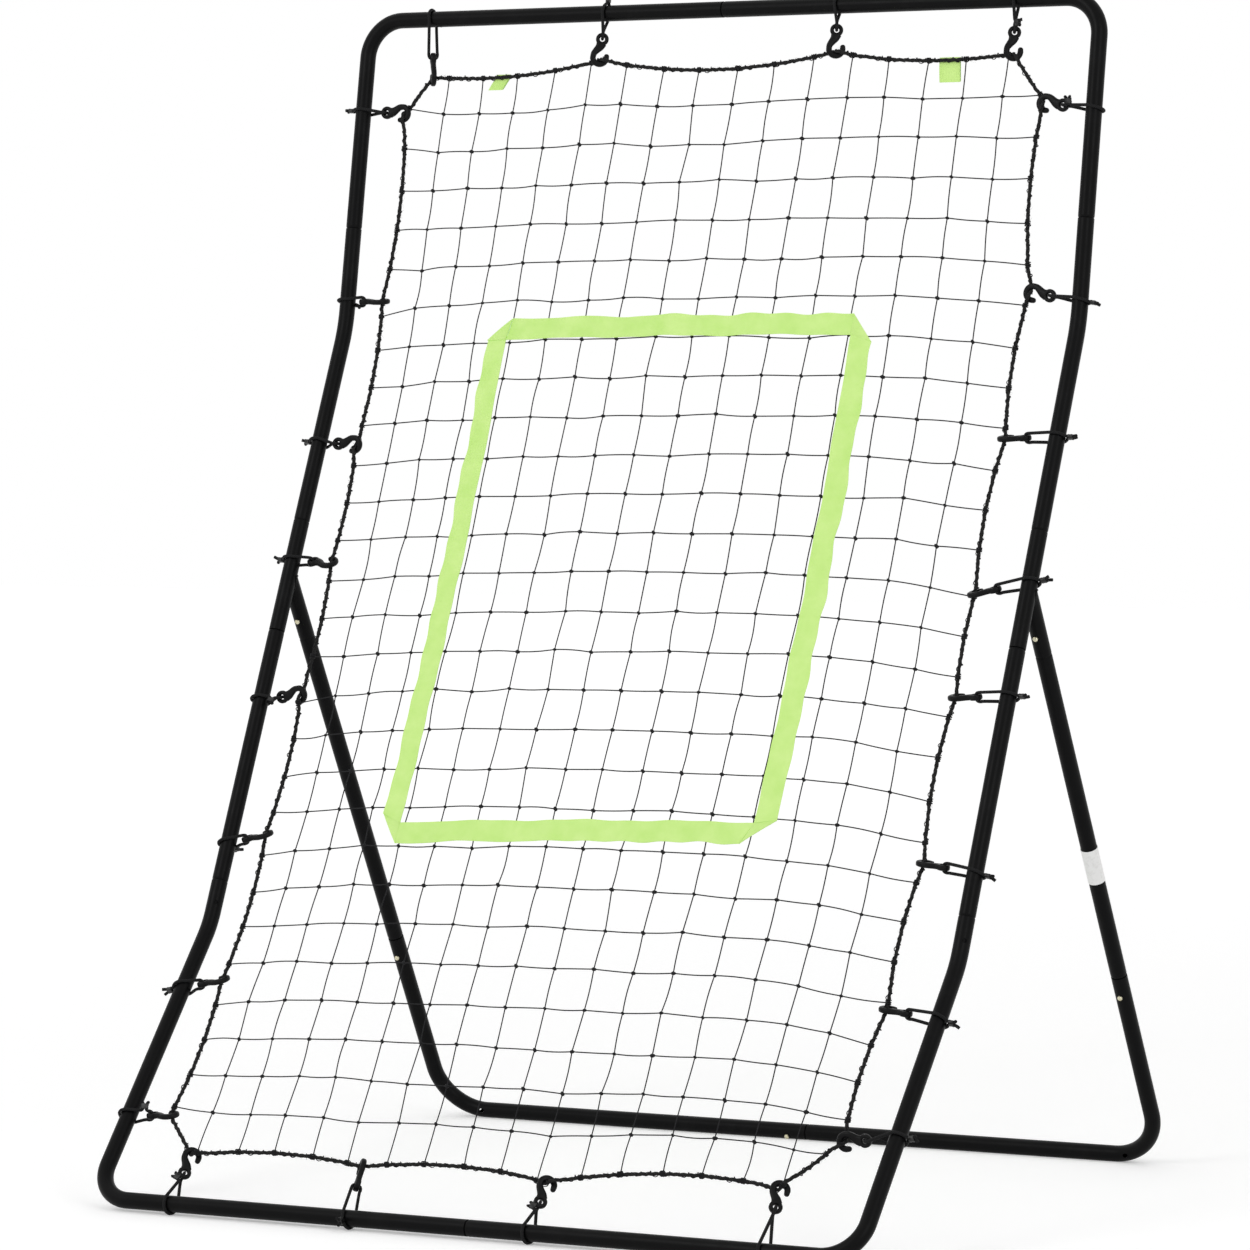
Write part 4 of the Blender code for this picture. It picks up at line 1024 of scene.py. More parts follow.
@dataclass
class TubeFrame:
    """Bent frame and plug-in stand: every tube, the socket stubs and their weld beads."""

    rail: RailShape
    seam_gap: float = 0.0003
    corner_radius: float = 0.045
    stand_corner_radius: float = 0.060
    lower_bend_radius: float = 0.12
    upper_bend_radius: float = 0.18
    bottom_seam_x: float = 0.009
    upper_seam: float = 0.377 + 0.761 + 0.120
    lower_seam: float = 0.377 + 0.054
    socket_length: float = 0.140
    stub_start: float = 0.004
    stub_length: float = 0.082
    leg_seam: float = 0.508
    crossbar_seam_x: float = 0.022
    button_from_seam: float = 0.025
    button_hole: float = 0.0066
    vent: float = 0.005
    vent_turn: float = math.radians(38.0)
    vent_from_corner: float = 0.050
    crossbar_button_drop: float = math.radians(36.0)
    weld_radius: float = 0.0012
    weld_ripple: float = 0.16
    weld_ripples: int = 24

    @property
    def crossbar_front(self) -> Array:
        """Direction in which the crossbar's button stands out."""
        return np.array((0.0, -math.cos(self.crossbar_button_drop),
                         -math.sin(self.crossbar_button_drop)))

    @property
    def leg_buttons(self) -> Pair:
        """Distances down the leg of its upper and middle button."""
        return self.stub_length - self.button_from_seam, self.leg_seam + self.button_from_seam

    @property
    def crossbar_button(self) -> Array:
        """Place of the crossbar's button on the bar's axis."""
        return self.rail.leg_point(self.rail.leg_length,
                                   self.crossbar_seam_x - self.button_from_seam)

    def _tubes(self, side: float) -> list[tuple[HollowTube, list[Hole]]]:
        """Tubes of one side with their holes.

        Args:
            side: -1 for the left, 1 for the right.

        Returns:
            Each tube, named after its CAD node, and its holes.
        """
        rail, half, opened, swaged = self.rail, self.seam_gap / 2, TubeEnd.OPEN, TubeEnd.SWAGED
        x, point, leg_point = side * rail.half_width, rail.point, rail.leg_point
        bend, upper_bend = rail.runs[0][0], rail.runs[0][0] + rail.runs[1][0]
        middle_end = swaged if side > 0 else opened
        vent = np.array((math.sin(self.vent_turn), -math.cos(self.vent_turn), 0.0))

        def on_rail(distance: float, shift: float) -> Array:
            """Point on this side's rail, shifted along it."""
            return point(distance, x) + rail.direction(distance) * shift

        def button(distance: float) -> Hole:
            """Button hole in the leg's front."""
            return Hole(leg_point(distance, x), rail.leg_front, self.button_hole)

        def tube(stem: str, corners: tuple[Array, ...], bends: tuple[tuple[float, int], ...],
                 start: TubeEnd, end: TubeEnd, *holes: Hole) -> tuple[HollowTube, list[Hole]]:
            """Tube through corners, each inner one bent to a radius in some steps."""
            radii, steps = (tuple(bend[index] for bend in bends) for index in range(2))
            return HollowTube(stem, np.stack(corners), radii, steps, start, end), list(holes)

        return [
            tube("top_corner_tube", (point(rail.length, side * half), point(rail.length, x),
                                     on_rail(self.upper_seam, half)),
                 ((self.corner_radius, 22),), middle_end, swaged),
            tube("upper_side_tube", (on_rail(self.upper_seam, -half), point(upper_bend, x),
                                     on_rail(rail.stand_on_rail + self.socket_length / 2, half)),
                 ((self.upper_bend_radius, 10),), opened, swaged),
            tube("lower_side_tube", (on_rail(rail.stand_on_rail - self.socket_length / 2, -half),
                                     on_rail(self.lower_seam, half)), (), swaged, swaged),
            tube("bottom_corner_tube", (point(0.0, self.bottom_seam_x + side * half), point(0.0, x),
                                        point(bend, x), on_rail(self.lower_seam, -half)),
                 ((self.corner_radius, 22), (self.lower_bend_radius, 10)), middle_end, opened,
                 Hole(point(self.lower_seam - self.button_from_seam, x), vent, self.vent, True)),
            tube("upper_leg_tube",
                 (leg_point(self.stub_length + half, x), leg_point(self.leg_seam - half, x)),
                 (), swaged, swaged, *map(button, self.leg_buttons)),
            tube("lower_leg_tube",
                 (leg_point(self.leg_seam + half, x), leg_point(rail.leg_length, x),
                  leg_point(rail.leg_length, self.crossbar_seam_x + side * half)),
                 ((self.stand_corner_radius, 24),), opened, middle_end, button(self.leg_buttons[1]),
                 Hole(self.crossbar_button, self.crossbar_front, self.button_hole),
                 Hole(leg_point(rail.leg_length, side * (rail.half_width - self.vent_from_corner)),
                      vent, self.vent, True)),
        ]

    def _socket(self, side: float) -> Mesh:
        """Stand socket: the rail tube, and the leg stub cut back to it and drilled for its button.

        Args:
            side: -1 for the left, 1 for the right.

        Returns:
            Both shells as one mesh.
        """
        rail, x = self.rail, side * self.rail.half_width
        up, centre = rail.direction(rail.stand_on_rail), rail.point(rail.stand_on_rail, x)
        reach = up * (self.socket_length / 2 - self.seam_gap / 2)
        run = HollowTube("socket_run", np.stack((centre - reach, centre + reach)))
        stub = HollowTube("socket_stub", np.stack((
            rail.leg_point(self.stub_start, x),
            rail.leg_point(self.stub_length - self.seam_gap / 2, x))))
        outer = rod(centre - reach, centre + reach, rail.tube_radius, run.sides).to_mesh("outer")
        button = Hole(rail.leg_point(self.leg_buttons[0], x), rail.leg_front, self.button_hole)
        work, mesh = bmesh.new(), bpy.data.meshes.new("stand_socket")
        work.from_mesh(run.surface().to_mesh("run"))
        work.from_mesh(cut_mesh(stub.surface().to_mesh("stub"), [outer, button.cutter()]))
        work.to_mesh(mesh)
        work.free()
        return mesh

    def _weld(self, side: float) -> Surface:
        """Weld bead where the stub meets the rail.

        The seam is the saddle where the two tubes' outsides cross: going round the stub by an
        angle, the stub's radius times its sine gives the offset across the rail, and the root of
        the rail's radius squared less that offset squared the distance out from the rail's axis.
        Ripples along the bead are a cosine of the angle.

        Args:
            side: -1 for the left, 1 for the right.

        Returns:
            The bead.
        """
        rail, x = self.rail, side * self.rail.half_width
        up, leg = rail.direction(rail.stand_on_rail), unit(rail.leg_vector)
        centre, radius = rail.point(rail.stand_on_rail, x), rail.tube_radius
        back = unit(leg - up * (leg @ up))
        turn = np.linspace(0.0, 2 * math.pi, 97)[:-1]
        offset = radius * spoke(turn, np.cross(X_AXIS, leg), X_AXIS)
        out = np.sqrt(np.maximum(radius ** 2 - offset[:, 0] ** 2, 0.0))
        reach = (out - offset @ back) / (leg @ back)
        path = centre + offset + leg * reach[:, None]
        size = self.weld_radius * (1.0 + self.weld_ripple * np.cos(self.weld_ripples * turn))
        return Surface.sweep(path, round_section(size, 10), closed=True)

    def build(self, finishes: Finishes) -> None:
        """Makes every tube, socket and weld bead.

        Args:
            finishes: The materials.
        """
        for side_name, side in SIDES:
            for tube, holes in self._tubes(side):
                name = "%s_%s" % (tube.name, side_name)
                mesh = cut_mesh(tube.surface().to_mesh(name), [hole.cutter() for hole in holes])
                add_piece("painted_" + name, mesh, finishes.tube, replaces=(name,))
            socket = "stand_socket_" + side_name
            add_piece("painted_" + socket, self._socket(side), finishes.tube,
                      replaces=(socket,))
            add_piece("socket_weld_" + side_name, self._weld(side).to_mesh("weld"), finishes.tube,
                      sharp=80.0)


@dataclass
class SnapClips:
    """Spring clips whose buttons lock the stand's tubes together."""

    frame: TubeFrame
    button_radius: float = 0.003
    button_rise: float = 0.0022
    strip_width: float = 0.006
    strip_thickness: float = 0.0006
    strip_length: float = 0.034
    travel: float = 0.0037
    inside_radius: float = 0.0068
    dome: float = 0.45
    collar: Pair = (0.0066, 0.0062)
    sides: int = 28

    def _button(self) -> Surface:
        """Domed button: a profile of radius and height turned about the button's axis.

        Returns:
            The button, with its axis along Z.
        """
        top, r = self.frame.rail.tube_radius + self.button_rise, self.button_radius
        edge = self.dome * r
        turn = np.linspace(0.0, math.pi / 2, 9)
        radii = np.concatenate((r - edge + edge * np.sin(turn), (r, r, 0.9 * r)))
        radii[0] = 0.3 * r
        heights = np.concatenate((top - edge + edge * np.cos(turn), (top - 2 * edge, *self.collar)))
        places = heights[:, None] * Z_AXIS
        return Surface.grid(laid(places, X_AXIS, Y_AXIS, round_section(radii, self.sides)), heights,
                            shares(self.sides), False, True, True)

    def _strip(self) -> Surface:
        """Spring strip bent to a V inside the tube: a smooth curve through seven points.

        Returns:
            The strip, with the tube along X.
        """
        room = math.sqrt(self.inside_radius ** 2 - (self.strip_width / 2) ** 2)
        near = room - self.strip_thickness / 2
        far = near - self.travel
        reach = self.button_radius + 2 * self.strip_thickness
        bend = self.strip_length - reach
        path = smooth_curve(np.array((
            (reach, 0.0, near), (-reach, 0.0, near), (-bend, 0.0, 0.9 * self.travel),
            (-bend - 0.002, 0.0, 0.0), (-bend, 0.0, -self.travel / 4), (-reach, 0.0, -far),
            (reach, 0.0, -far))), 6)
        section = soft_box_section(self.strip_width / 2, self.strip_thickness / 2, 12, 0.3)
        return Surface.sweep(path, section, hint=Y_AXIS)

    def build(self, finishes: Finishes) -> None:
        """Makes each clip in its place on its own body.

        Args:
            finishes: The materials.
        """
        frame, rail = self.frame, self.frame.rail
        leg, (top, middle) = unit(rail.leg_vector), frame.leg_buttons
        on_leg = (("leg_top", top, -leg), ("leg_middle", middle, leg))
        places = [("%s_%s" % (stem, side_name), rail.leg_point(distance, side * rail.half_width),
                   rail.leg_front, along) for side_name, side in SIDES
                  for stem, distance, along in on_leg]
        places.append(("crossbar", frame.crossbar_button, frame.crossbar_front, -X_AXIS))
        for name, centre, outward, along in places:
            turn = np.stack((along, np.cross(outward, along), outward), axis=1)
            clip = Surface.join([self._button(), self._strip()]).moved(centre, turn)
            add_piece("spring_clip_" + name, clip.to_mesh(name), finishes.zinc,
                      name + "_clip", ("snap_clip_" + name,))


@dataclass
class BlankLabel:
    """Bare white label wrapped round the right leg."""

    rail: RailShape
    start: float = 0.336
    length: float = 0.044
    thickness: float = 0.0003
    gap: float = 0.0003
    sides: int = 40

    def build(self, finishes: Finishes) -> None:
        """Makes the label as a thin closed sleeve with rounded rims.

        Args:
            finishes: The materials.
        """
        inner, leg = self.rail.tube_radius + self.gap, unit(self.rail.leg_vector)
        outer, rim = inner + self.thickness, inner + self.thickness / 3
        rings = np.array(((0.0, rim), (0.0002, outer), (0.5, outer), (0.9998, outer), (1.0, rim),
                          (1.0, inner), (0.0, inner)))
        top = self.rail.leg_point(self.start, self.rail.half_width)
        points = laid(top + rings[:, :1] * self.length * leg, X_AXIS, np.cross(leg, X_AXIS),
                      round_section(rings[:, 1], self.sides))
        along = np.append(rings[:, 0], 0.0) * self.length
        sleeve = Surface.grid(points, along, shares(self.sides), True, True)
        add_piece("bare_label", sleeve.to_mesh("label"), finishes.label,
                  replaces=("blank_label",))


# Net, border rope and ribbon

class Lie(Enum):
    """Turn of a hook about its own length, in degrees, from edge on to the player."""

    EDGE = -9.0
    HALF = -30.0
    FLAT = 90.0


class CrimpPlace(Enum):
    """Where on the loop its two ends are crimped together."""

    OUTSIDE = "outside of the tube"
    BEHIND = "behind the tube"
    EYE_LEFT = "beside the eye, on the upper or left side"
    EYE_RIGHT = "beside the eye, on the lower or right side"


@dataclass(frozen=True)
class HookPlace:
    """How one hook sits: its place along the tube, reach to the rope, slant and turn."""

    place: float
    inset: float
    slide: float = 0.0
    lie: Lie = Lie.EDGE
    crimp: CrimpPlace = CrimpPlace.OUTSIDE

    @property
    def seat(self) -> float:
        """How far the hook draws the rope out of its line, towards the tube."""
        return {Lie.EDGE: 0.0, Lie.HALF: 0.001, Lie.FLAT: 0.0015}[self.lie]


LEFT_HOOKS = (
    HookPlace(0.116, 0.0550, -0.005, Lie.EDGE, CrimpPlace.EYE_LEFT),
    HookPlace(0.301, 0.0485, -0.013),
    HookPlace(0.492, 0.0490, -0.014, Lie.EDGE, CrimpPlace.BEHIND),
    HookPlace(0.667, 0.0545, -0.009, Lie.FLAT, CrimpPlace.EYE_RIGHT),
    HookPlace(0.835, 0.0550, 0.000, Lie.HALF),
    HookPlace(0.984, 0.0530, 0.003, Lie.FLAT),
    HookPlace(1.170, 0.0490, -0.001, Lie.EDGE, CrimpPlace.BEHIND),
    HookPlace(1.399, 0.0585, 0.003, Lie.FLAT),
)
RIGHT_HOOKS = (
    HookPlace(0.141, 0.0620, 0.010, Lie.FLAT),
    HookPlace(0.316, 0.0660, -0.012),
    HookPlace(0.491, 0.0640, -0.009),
    HookPlace(0.688, 0.0640, 0.001),
    HookPlace(0.811, 0.0650, 0.013),
    HookPlace(0.996, 0.0640, 0.003),
    HookPlace(1.174, 0.0635, -0.010, Lie.FLAT),
    HookPlace(1.393, 0.0640, -0.009, Lie.FLAT, CrimpPlace.EYE_LEFT),
)
TOP_HOOKS = (
    HookPlace(-0.394, 0.0710, -0.008, Lie.EDGE, CrimpPlace.BEHIND),
    HookPlace(-0.163, 0.0560, 0.003, Lie.FLAT),
    HookPlace(0.152, 0.0545, -0.001, Lie.FLAT),
    HookPlace(0.384, 0.0630, -0.002, Lie.FLAT, CrimpPlace.EYE_RIGHT),
)
BOTTOM_HOOKS = (
    HookPlace(-0.385, 0.0660, 0.000, Lie.FLAT, CrimpPlace.EYE_LEFT),
    HookPlace(-0.156, 0.0670, 0.009),
    HookPlace(0.086, 0.0650, 0.000, Lie.FLAT, CrimpPlace.EYE_LEFT),
    HookPlace(0.372, 0.0800, 0.007, Lie.FLAT),
)


@dataclass(frozen=True)
class Anchor:
    """Where a hook holds the rope, the tube behind it and the tube's direction."""

    group: str
    number: int
    hold: Array
    tube: Array
    along: Array
    hook: HookPlace

    @property
    def name(self) -> str:
        """Group and number, as in the CAD node's name."""
        return "%s_%d" % (self.group, self.number)

    def axes(self, hold: Array) -> Array:
        """Local axes of the hook.

        Args:
            hold: Where it holds the rope.

        Returns:
            As columns: tube to rope, along the tube (up or to the left), and to the front.
        """
        pull = unit(hold - self.tube)
        along = unit(self.along - pull * (pull @ self.along))
        front = np.cross(pull, along)
        return np.stack((pull, along, front if front[1] < 0 else -front), axis=1)


@dataclass
class NetShape:
    """Balance of forces of the net and its rope between the hooks.

    Every free knot rests where the pulls of its neighbours, each in proportion to distance,
    cancel out. The hooks are fixed, so the shape is the solution of one linear system.
    """

    rail: RailShape
    width: float = 0.850
    bottom: float = 0.070
    top: float = 1.452
    columns: int = 17
    rows: int = 28
    cross_pull: float = 0.446
    side_rope_pull: float = 0.277
    end_rope_pull: float = 0.691
    side_lift: float = 0.006
    slip_start: float = 0.3
    slip_span: float = 0.5
    slip_edge: float = 0.12
    slip_even: float = 0.35
    anchors: list[Anchor] = field(init=False)
    chain: Array = field(init=False)
    knots: Array = field(init=False)

    def __post_init__(self) -> None:
        """Solves the shape."""
        self.anchors = self._anchor_list()
        self.chain = self._chain()
        self.knots = self._solve()

    def _anchor_list(self) -> list[Anchor]:
        """Every hook's place, group by group.

        Returns:
            The anchors.
        """
        rail, found = self.rail, []
        for group, side, hooks in (("left", -1.0, LEFT_HOOKS), ("right", 1.0, RIGHT_HOOKS)):
            for number, hook in enumerate(hooks, start=1):
                hold = rail.point(hook.place, side * (rail.half_width - hook.inset))
                tube = rail.point(hook.place + hook.slide, side * rail.half_width)
                found.append(Anchor(group, number, hold, tube, rail.direction(hook.place), hook))
        ends = (("top", rail.length, -1.0, TOP_HOOKS), ("bottom", 0.0, 1.0, BOTTOM_HOOKS))
        for group, height, inward, hooks in ends:
            for number, hook in enumerate(hooks, start=1):
                hold = rail.point(height + inward * hook.inset, hook.place)
                tube = rail.point(height, hook.place + hook.slide)
                found.append(Anchor(group, number, hold, tube, -X_AXIS, hook))
        return found

    def flat(self, row: float, column: float) -> Pair:
        """Place on the flat net: x and the distance up the rail."""
        return (-self.width / 2 + self.width * column / self.columns,
                self.bottom + (self.top - self.bottom) * row / self.rows)

    def _chain(self) -> Array:
        """Rope order, counter-clockwise from the bottom left: border knots and hooks.

        Returns:
            Number of each. Knots count row by row, and the hooks follow on them.
        """
        across, last = self.columns + 1, (self.columns + 1) * (self.rows + 1) - 1
        edges = (("bottom", 0, 1.0, range(self.columns)),
                 ("right", 1, 1.0, range(self.columns, last - self.columns, across)),
                 ("top", 0, -1.0, range(last, last - self.columns, -1)),
                 ("left", 1, -1.0, range(last - self.columns, 0, -across)))
        chain = []
        for group, axis, sign, knots in edges:
            entries = [(sign * self.flat(*divmod(knot, across))[axis], knot) for knot in knots]
            entries += [(sign * anchor.hook.place, last + number)
                        for number, anchor in enumerate(self.anchors, start=1)
                        if anchor.group == group]
            chain += [number for _, number in sorted(entries)]
        return np.array(chain)

    def _solve(self) -> Array:
        """Solves for the knots.

        The pull of each piece of rope is divided by its length on the flat net.

        Returns:
            Knot places, rows by columns by 3.
        """
        across, up = self.columns + 1, self.rows + 1
        count = across * up
        number = np.arange(count).reshape(up, across)
        holds = np.array([anchor.hold for anchor in self.anchors])
        matrix = np.zeros((count + len(holds), count + len(holds)))

        def connect(first: Array, second: Array, pull: Array | float) -> None:
            """Adds pulls between pairs of points.

            Args:
                first: Numbers of the first points.
                second: Numbers of the second ones.
                pull: Pull over distance.
            """
            for here, there in ((first, second), (second, first)):
                np.add.at(matrix, (here, here), pull)
                np.add.at(matrix, (here, there), -pull)

        connect(number[1:-1, :-1].ravel(), number[1:-1, 1:].ravel(), self.cross_pull)
        connect(number[:-1, 1:-1].ravel(), number[1:, 1:-1].ravel(), 1.0)
        flat = [self.rail.point(*reversed(self.flat(*divmod(knot, across))))
                for knot in range(count)]
        places = np.concatenate((flat, holds))[self.chain]
        gaps = np.linalg.norm(np.roll(places, -1, axis=0) - places, axis=1)
        groups = [anchor.group in ("top", "bottom") for anchor in self.anchors]
        on_end = np.concatenate((number.ravel() // across % self.rows == 0, groups))[self.chain]
        pull = np.where(on_end & np.roll(on_end, -1), self.end_rope_pull, self.side_rope_pull)
        pull = pull / np.maximum(gaps, 0.1 * self.width / self.columns)
        connect(self.chain, np.roll(self.chain, -1), pull)
        knots = np.linalg.solve(matrix[:count, :count], -matrix[:count, count:] @ holds)
        return knots.reshape(up, across, 3) + self._shift(up, across)

    def _shift(self, up: int, across: int) -> Array:
        """Small slip of the knots up the net towards its right side.

        The slip is a half sine over the rows. Over the columns it is an even share plus one that
        grows with the square of the way, and both fade to zero at the border.

        Args:
            up: Number of knot rows.
            across: Number of knot columns.

        Returns:
            Shift of each knot.
        """
        row = np.linspace(0.0, 1.0, up)[:, None]
        column = np.linspace(0.0, 1.0, across)[None, :]
        fade = np.clip((1.0 - column) / self.slip_edge, 0.0, 1.0)
        even = self.slip_even * np.clip(column / self.slip_edge, 0.0, 1.0) * fade
        share = np.clip((column - self.slip_start) / self.slip_span, 0.0, 1.0) ** 2 * fade
        size = self.side_lift * np.sin(math.pi * row) * (even + share)
        slope = math.radians(self.rail.runs[1][1])
        return size[..., None] * np.array((0.0, math.sin(slope), math.cos(slope)))

    def rope_path(self, spacing: float = 0.004, easing: float = 0.0045) -> Array:
        """Middle line of the border rope, eased round each hook.

        The straight runs between knots and hooks are sampled evenly, then averaged along the
        rope with a bell curve.

        Args:
            spacing: Distance between points.
            easing: Width of the bell curve.

        Returns:
            Points of the closed path.
        """
        holds = [anchor.hold for anchor in self.anchors]
        points = np.concatenate((self.knots.reshape(-1, 3), holds))
        path = even_ring(points[self.chain], spacing)[0]
        reach = int(4 * easing / spacing) + 1
        offsets = np.arange(-reach, reach + 1)
        weights = np.exp(-0.5 * (offsets * spacing / easing) ** 2)
        weights /= weights.sum()
        return sum(weight * np.roll(path, -offset, axis=0)
                   for weight, offset in zip(weights, offsets))

    def normals(self) -> Array:
        """Unit normals of the knots, to the front.

        Returns:
            Normals, rows by columns by 3.
        """
        across, up = np.gradient(self.knots, axis=1), np.gradient(self.knots, axis=0)
        normal = unit(np.cross(across, up))
        return normal * -np.sign(normal[..., 1:2])

    def on_net(self, flat_x: Array, flat_s: Array, lift: Array | float) -> Array:
        """Points on the net, lifted off its front.

        Each is the bilinear blend of its cell's four knots plus the lift along their normal.

        Args:
            flat_x: Places across the flat net.
            flat_s: Places up the flat net.
            lift: Distance in front of the net.

        Returns:
            One point per place.
        """
        across = np.clip((flat_x + self.width / 2) / self.width * self.columns, 0,
                         self.columns - 1e-6)
        along = np.clip((flat_s - self.bottom) / (self.top - self.bottom) * self.rows, 0,
                        self.rows - 1e-6)
        column, row = across.astype(int), along.astype(int)
        u, v = (across - column)[..., None], (along - row)[..., None]

        def blend(values: Array) -> Array:
            """Bilinear blend of values at the cell's four knots."""
            return (values[row, column] * (1 - u) * (1 - v) + values[row, column + 1] * u * (1 - v)
                    + values[row + 1, column] * (1 - u) * v + values[row + 1, column + 1] * u * v)

        return blend(self.knots) + unit(blend(self.normals())) * np.asarray(lift)[..., None]


@dataclass
class BorderRope:
    """Loosely laid rope round the net, the selvedge twine wound on it, and its stray fibres."""

    shape: NetShape
    radius: float = 0.0023
    strand_radius: float = 0.00120
    strand_offset: float = 0.00118
    strand_pitch: float = 0.026
    wind_radius: float = 0.00062
    wind_offset: float = 0.0026
    wind_pitch: float = 0.0115
    lash_radius: float = 0.00075
    lash_turns: float = 2.6
    weave_depth: float = 0.0038
    weave_reach: float = 0.0080
    weave_span: float = 0.03
    seat_span: float = 0.012
    swell: float = 0.12
    lash_width: Pair = (0.0035, 0.0065)
    fibre_count: int = 1500
    fibre_radius: float = 0.00016
    fibre_length: Pair = (0.0012, 0.0042)
    fibre_lean: float = 1.2
    seed: int = 41

    def path(self) -> Array:
        """Middle line of the rope, drawn to the tube and woven through each hook that lies flat.

        There the line moves towards the tube by the hook's seat times a bell curve, and out of the
        net's plane by the depth times t e^((1 - t^2) / 2), with t the distance past the hook over
        the reach: behind the shank, then in front of the tip.

        Returns:
            Points of the closed path.
        """
        path = self.shape.rope_path()
        for anchor in self.shape.anchors:
            if anchor.hook.lie is not Lie.FLAT:
                continue
            axes = anchor.axes(anchor.hold)
            from_hook = (path - anchor.hold) @ axes
            t = -from_hook[:, 1] / self.weave_reach
            near = np.exp(-(from_hook[:, 0] / self.weave_span) ** 2)
            size = self.weave_depth * t * np.exp(0.5 * (1.0 - t ** 2)) * near
            drawn = anchor.hook.seat * np.exp(-(from_hook[:, 1] / self.seat_span) ** 2) * near
            path = path + size[:, None] * axes[:, 2] - drawn[:, None] * axes[:, 0]
        return path

    def _fine(self, path: Array, spacing: float) -> tuple[Array, Array, Array, Array]:
        """Closed path resampled evenly, with its cross directions and the length walked.

        Args:
            path: Points of the closed path.
            spacing: Rough distance between samples.

        Returns:
            Points, normals, binormals and the length walked to each point.
        """
        fine, total = even_ring(path, spacing)
        normals, binormals = carried_frames(fine, True)
        return fine, normals, binormals, np.arange(len(fine)) / len(fine) * total

    def _helix(self, path: Array, spacing: float, pitch: float, offset: float, radius: float,
               phase: float, sides: int, wander: float) -> Surface:
        """One strand wound round the rope's line, with a whole number of turns.

        Its angle swings by a slow sine of the length walked, its offset by two, and its radius by
        another.

        Args:
            path: The rope's line.
            spacing: Rough distance between samples.
            pitch: Rough length of a turn.
            offset: Mean distance from the rope's line.
            radius: Mean radius of the strand.
            phase: Angle where it starts.
            sides: Points round the strand.
            wander: Share by which angle and offset swing.

        Returns:
            The strand.
        """
        fine, normals, binormals, walked = self._fine(path, spacing)
        total = walked[-1] + walked[1]
        ease = 2 * math.pi * walked / total
        angle = round(total / pitch) * ease + phase + wander * np.sin(37 * ease + phase)
        swing = np.sin(91 * ease + 2 * phase) + 0.7 * np.sin(233 * ease + phase)
        reach = offset * (1.0 + wander * swing)
        line = fine + reach[:, None] * spoke(angle, normals, binormals)
        size = radius * (1.0 + self.swell * np.sin(151 * ease + phase))
        return Surface.sweep(line, round_section(size, sides), closed=True)

    def border_knots(self) -> Array:
        """Knots of the net's edge that are tied to the rope, corners left out."""
        knots = self.shape.knots
        return np.concatenate((knots[0, 1:-1], knots[-1, 1:-1], knots[1:-1, 0], knots[1:-1, -1]))

    def _lashings(self, path: Array) -> Surface:
        """Turns of twine round the rope at each border knot: helices about the rope's line.

        Args:
            path: The rope's line.

        Returns:
            Every lashing.
        """
        rng = np.random.default_rng(self.seed)
        normals, binormals = carried_frames(path, True)
        tangents = np.cross(normals, binormals)
        turn = np.linspace(0.0, 2 * math.pi * self.lash_turns, 26)
        radius = self.radius * 1.12 + self.lash_radius * 0.6
        places = nearest(path, self.border_knots())
        parts = []
        for index, width in zip(places, rng.uniform(*self.lash_width, len(places))):
            helix = path[index] + radius * spoke(turn, normals[index], binormals[index])
            helix = helix + np.outer(turn / turn[-1] - 0.5, tangents[index]) * width
            parts.append(Surface.sweep(helix, round_section(self.lash_radius, 5)))
        return Surface.join(parts)

    def _fibres(self, path: Array) -> Surface:
        """Short stray fibres that leave the rope's skin.

        Each is thin and three-sided. Its line leaves along the skin's normal with the way along
        it, and leans over with the square of that way.

        Args:
            path: The rope's line.

        Returns:
            Every fibre.
        """
        rng, count = np.random.default_rng(self.seed), self.fibre_count
        normals, binormals = carried_frames(path, True)
        index = rng.integers(0, len(path), count)
        tangents = np.cross(normals, binormals)[index]
        out = spoke(rng.uniform(0.0, 2 * math.pi, count), normals[index], binormals[index])
        length = rng.uniform(*self.fibre_length, (count, 1))
        lean = rng.normal(0.0, self.fibre_lean, (count, 1)) * tangents
        way = shares(3)
        t = way[:, None]
        line = ((path[index] + out * self.radius * 0.9)[:, None] + t * (out * length)[:, None] * 0.8
                + t ** 2 * (lean * length)[:, None])
        size = self.fibre_radius * np.array((1.0, 0.9, 0.7, 0.2))[:, None, None]
        side = unit(np.cross(tangents, out))
        ring = np.stack((side, -0.5 * side + 0.87 * tangents, -0.5 * side - 0.87 * tangents), 1)
        return Surface.copies(line[:, :, None] + ring[:, None] * size, way, way)

    def build(self, finishes: Finishes) -> None:
        """Makes the rope's strands, the twine wound on it, its lashings and fibres.

        Args:
            finishes: The materials.
        """
        path = self.path()
        strands = [self._helix(path, 0.003, self.strand_pitch, self.strand_offset,
                               self.strand_radius, 2 * math.pi * index / 3, 7, 0.10)
                   for index in range(3)]
        add_piece("laid_border_rope", Surface.join(strands).to_mesh("rope"), finishes.rope,
                  replaces=("border_rope",), sharp=90.0)
        winding = self._helix(path, 0.0012, self.wind_pitch, self.wind_offset, self.wind_radius,
                              0.7, 5, 0.22)
        add_piece("selvedge_twine", winding.to_mesh("winding"), finishes.twine,
                  sharp=90.0)
        add_piece("rope_lashings", self._lashings(path).to_mesh("lashings"), finishes.twine,
                  sharp=90.0)
        add_piece("rope_fibres", self._fibres(path).to_mesh("fibres"), finishes.rope,
                  sharp=180.0)


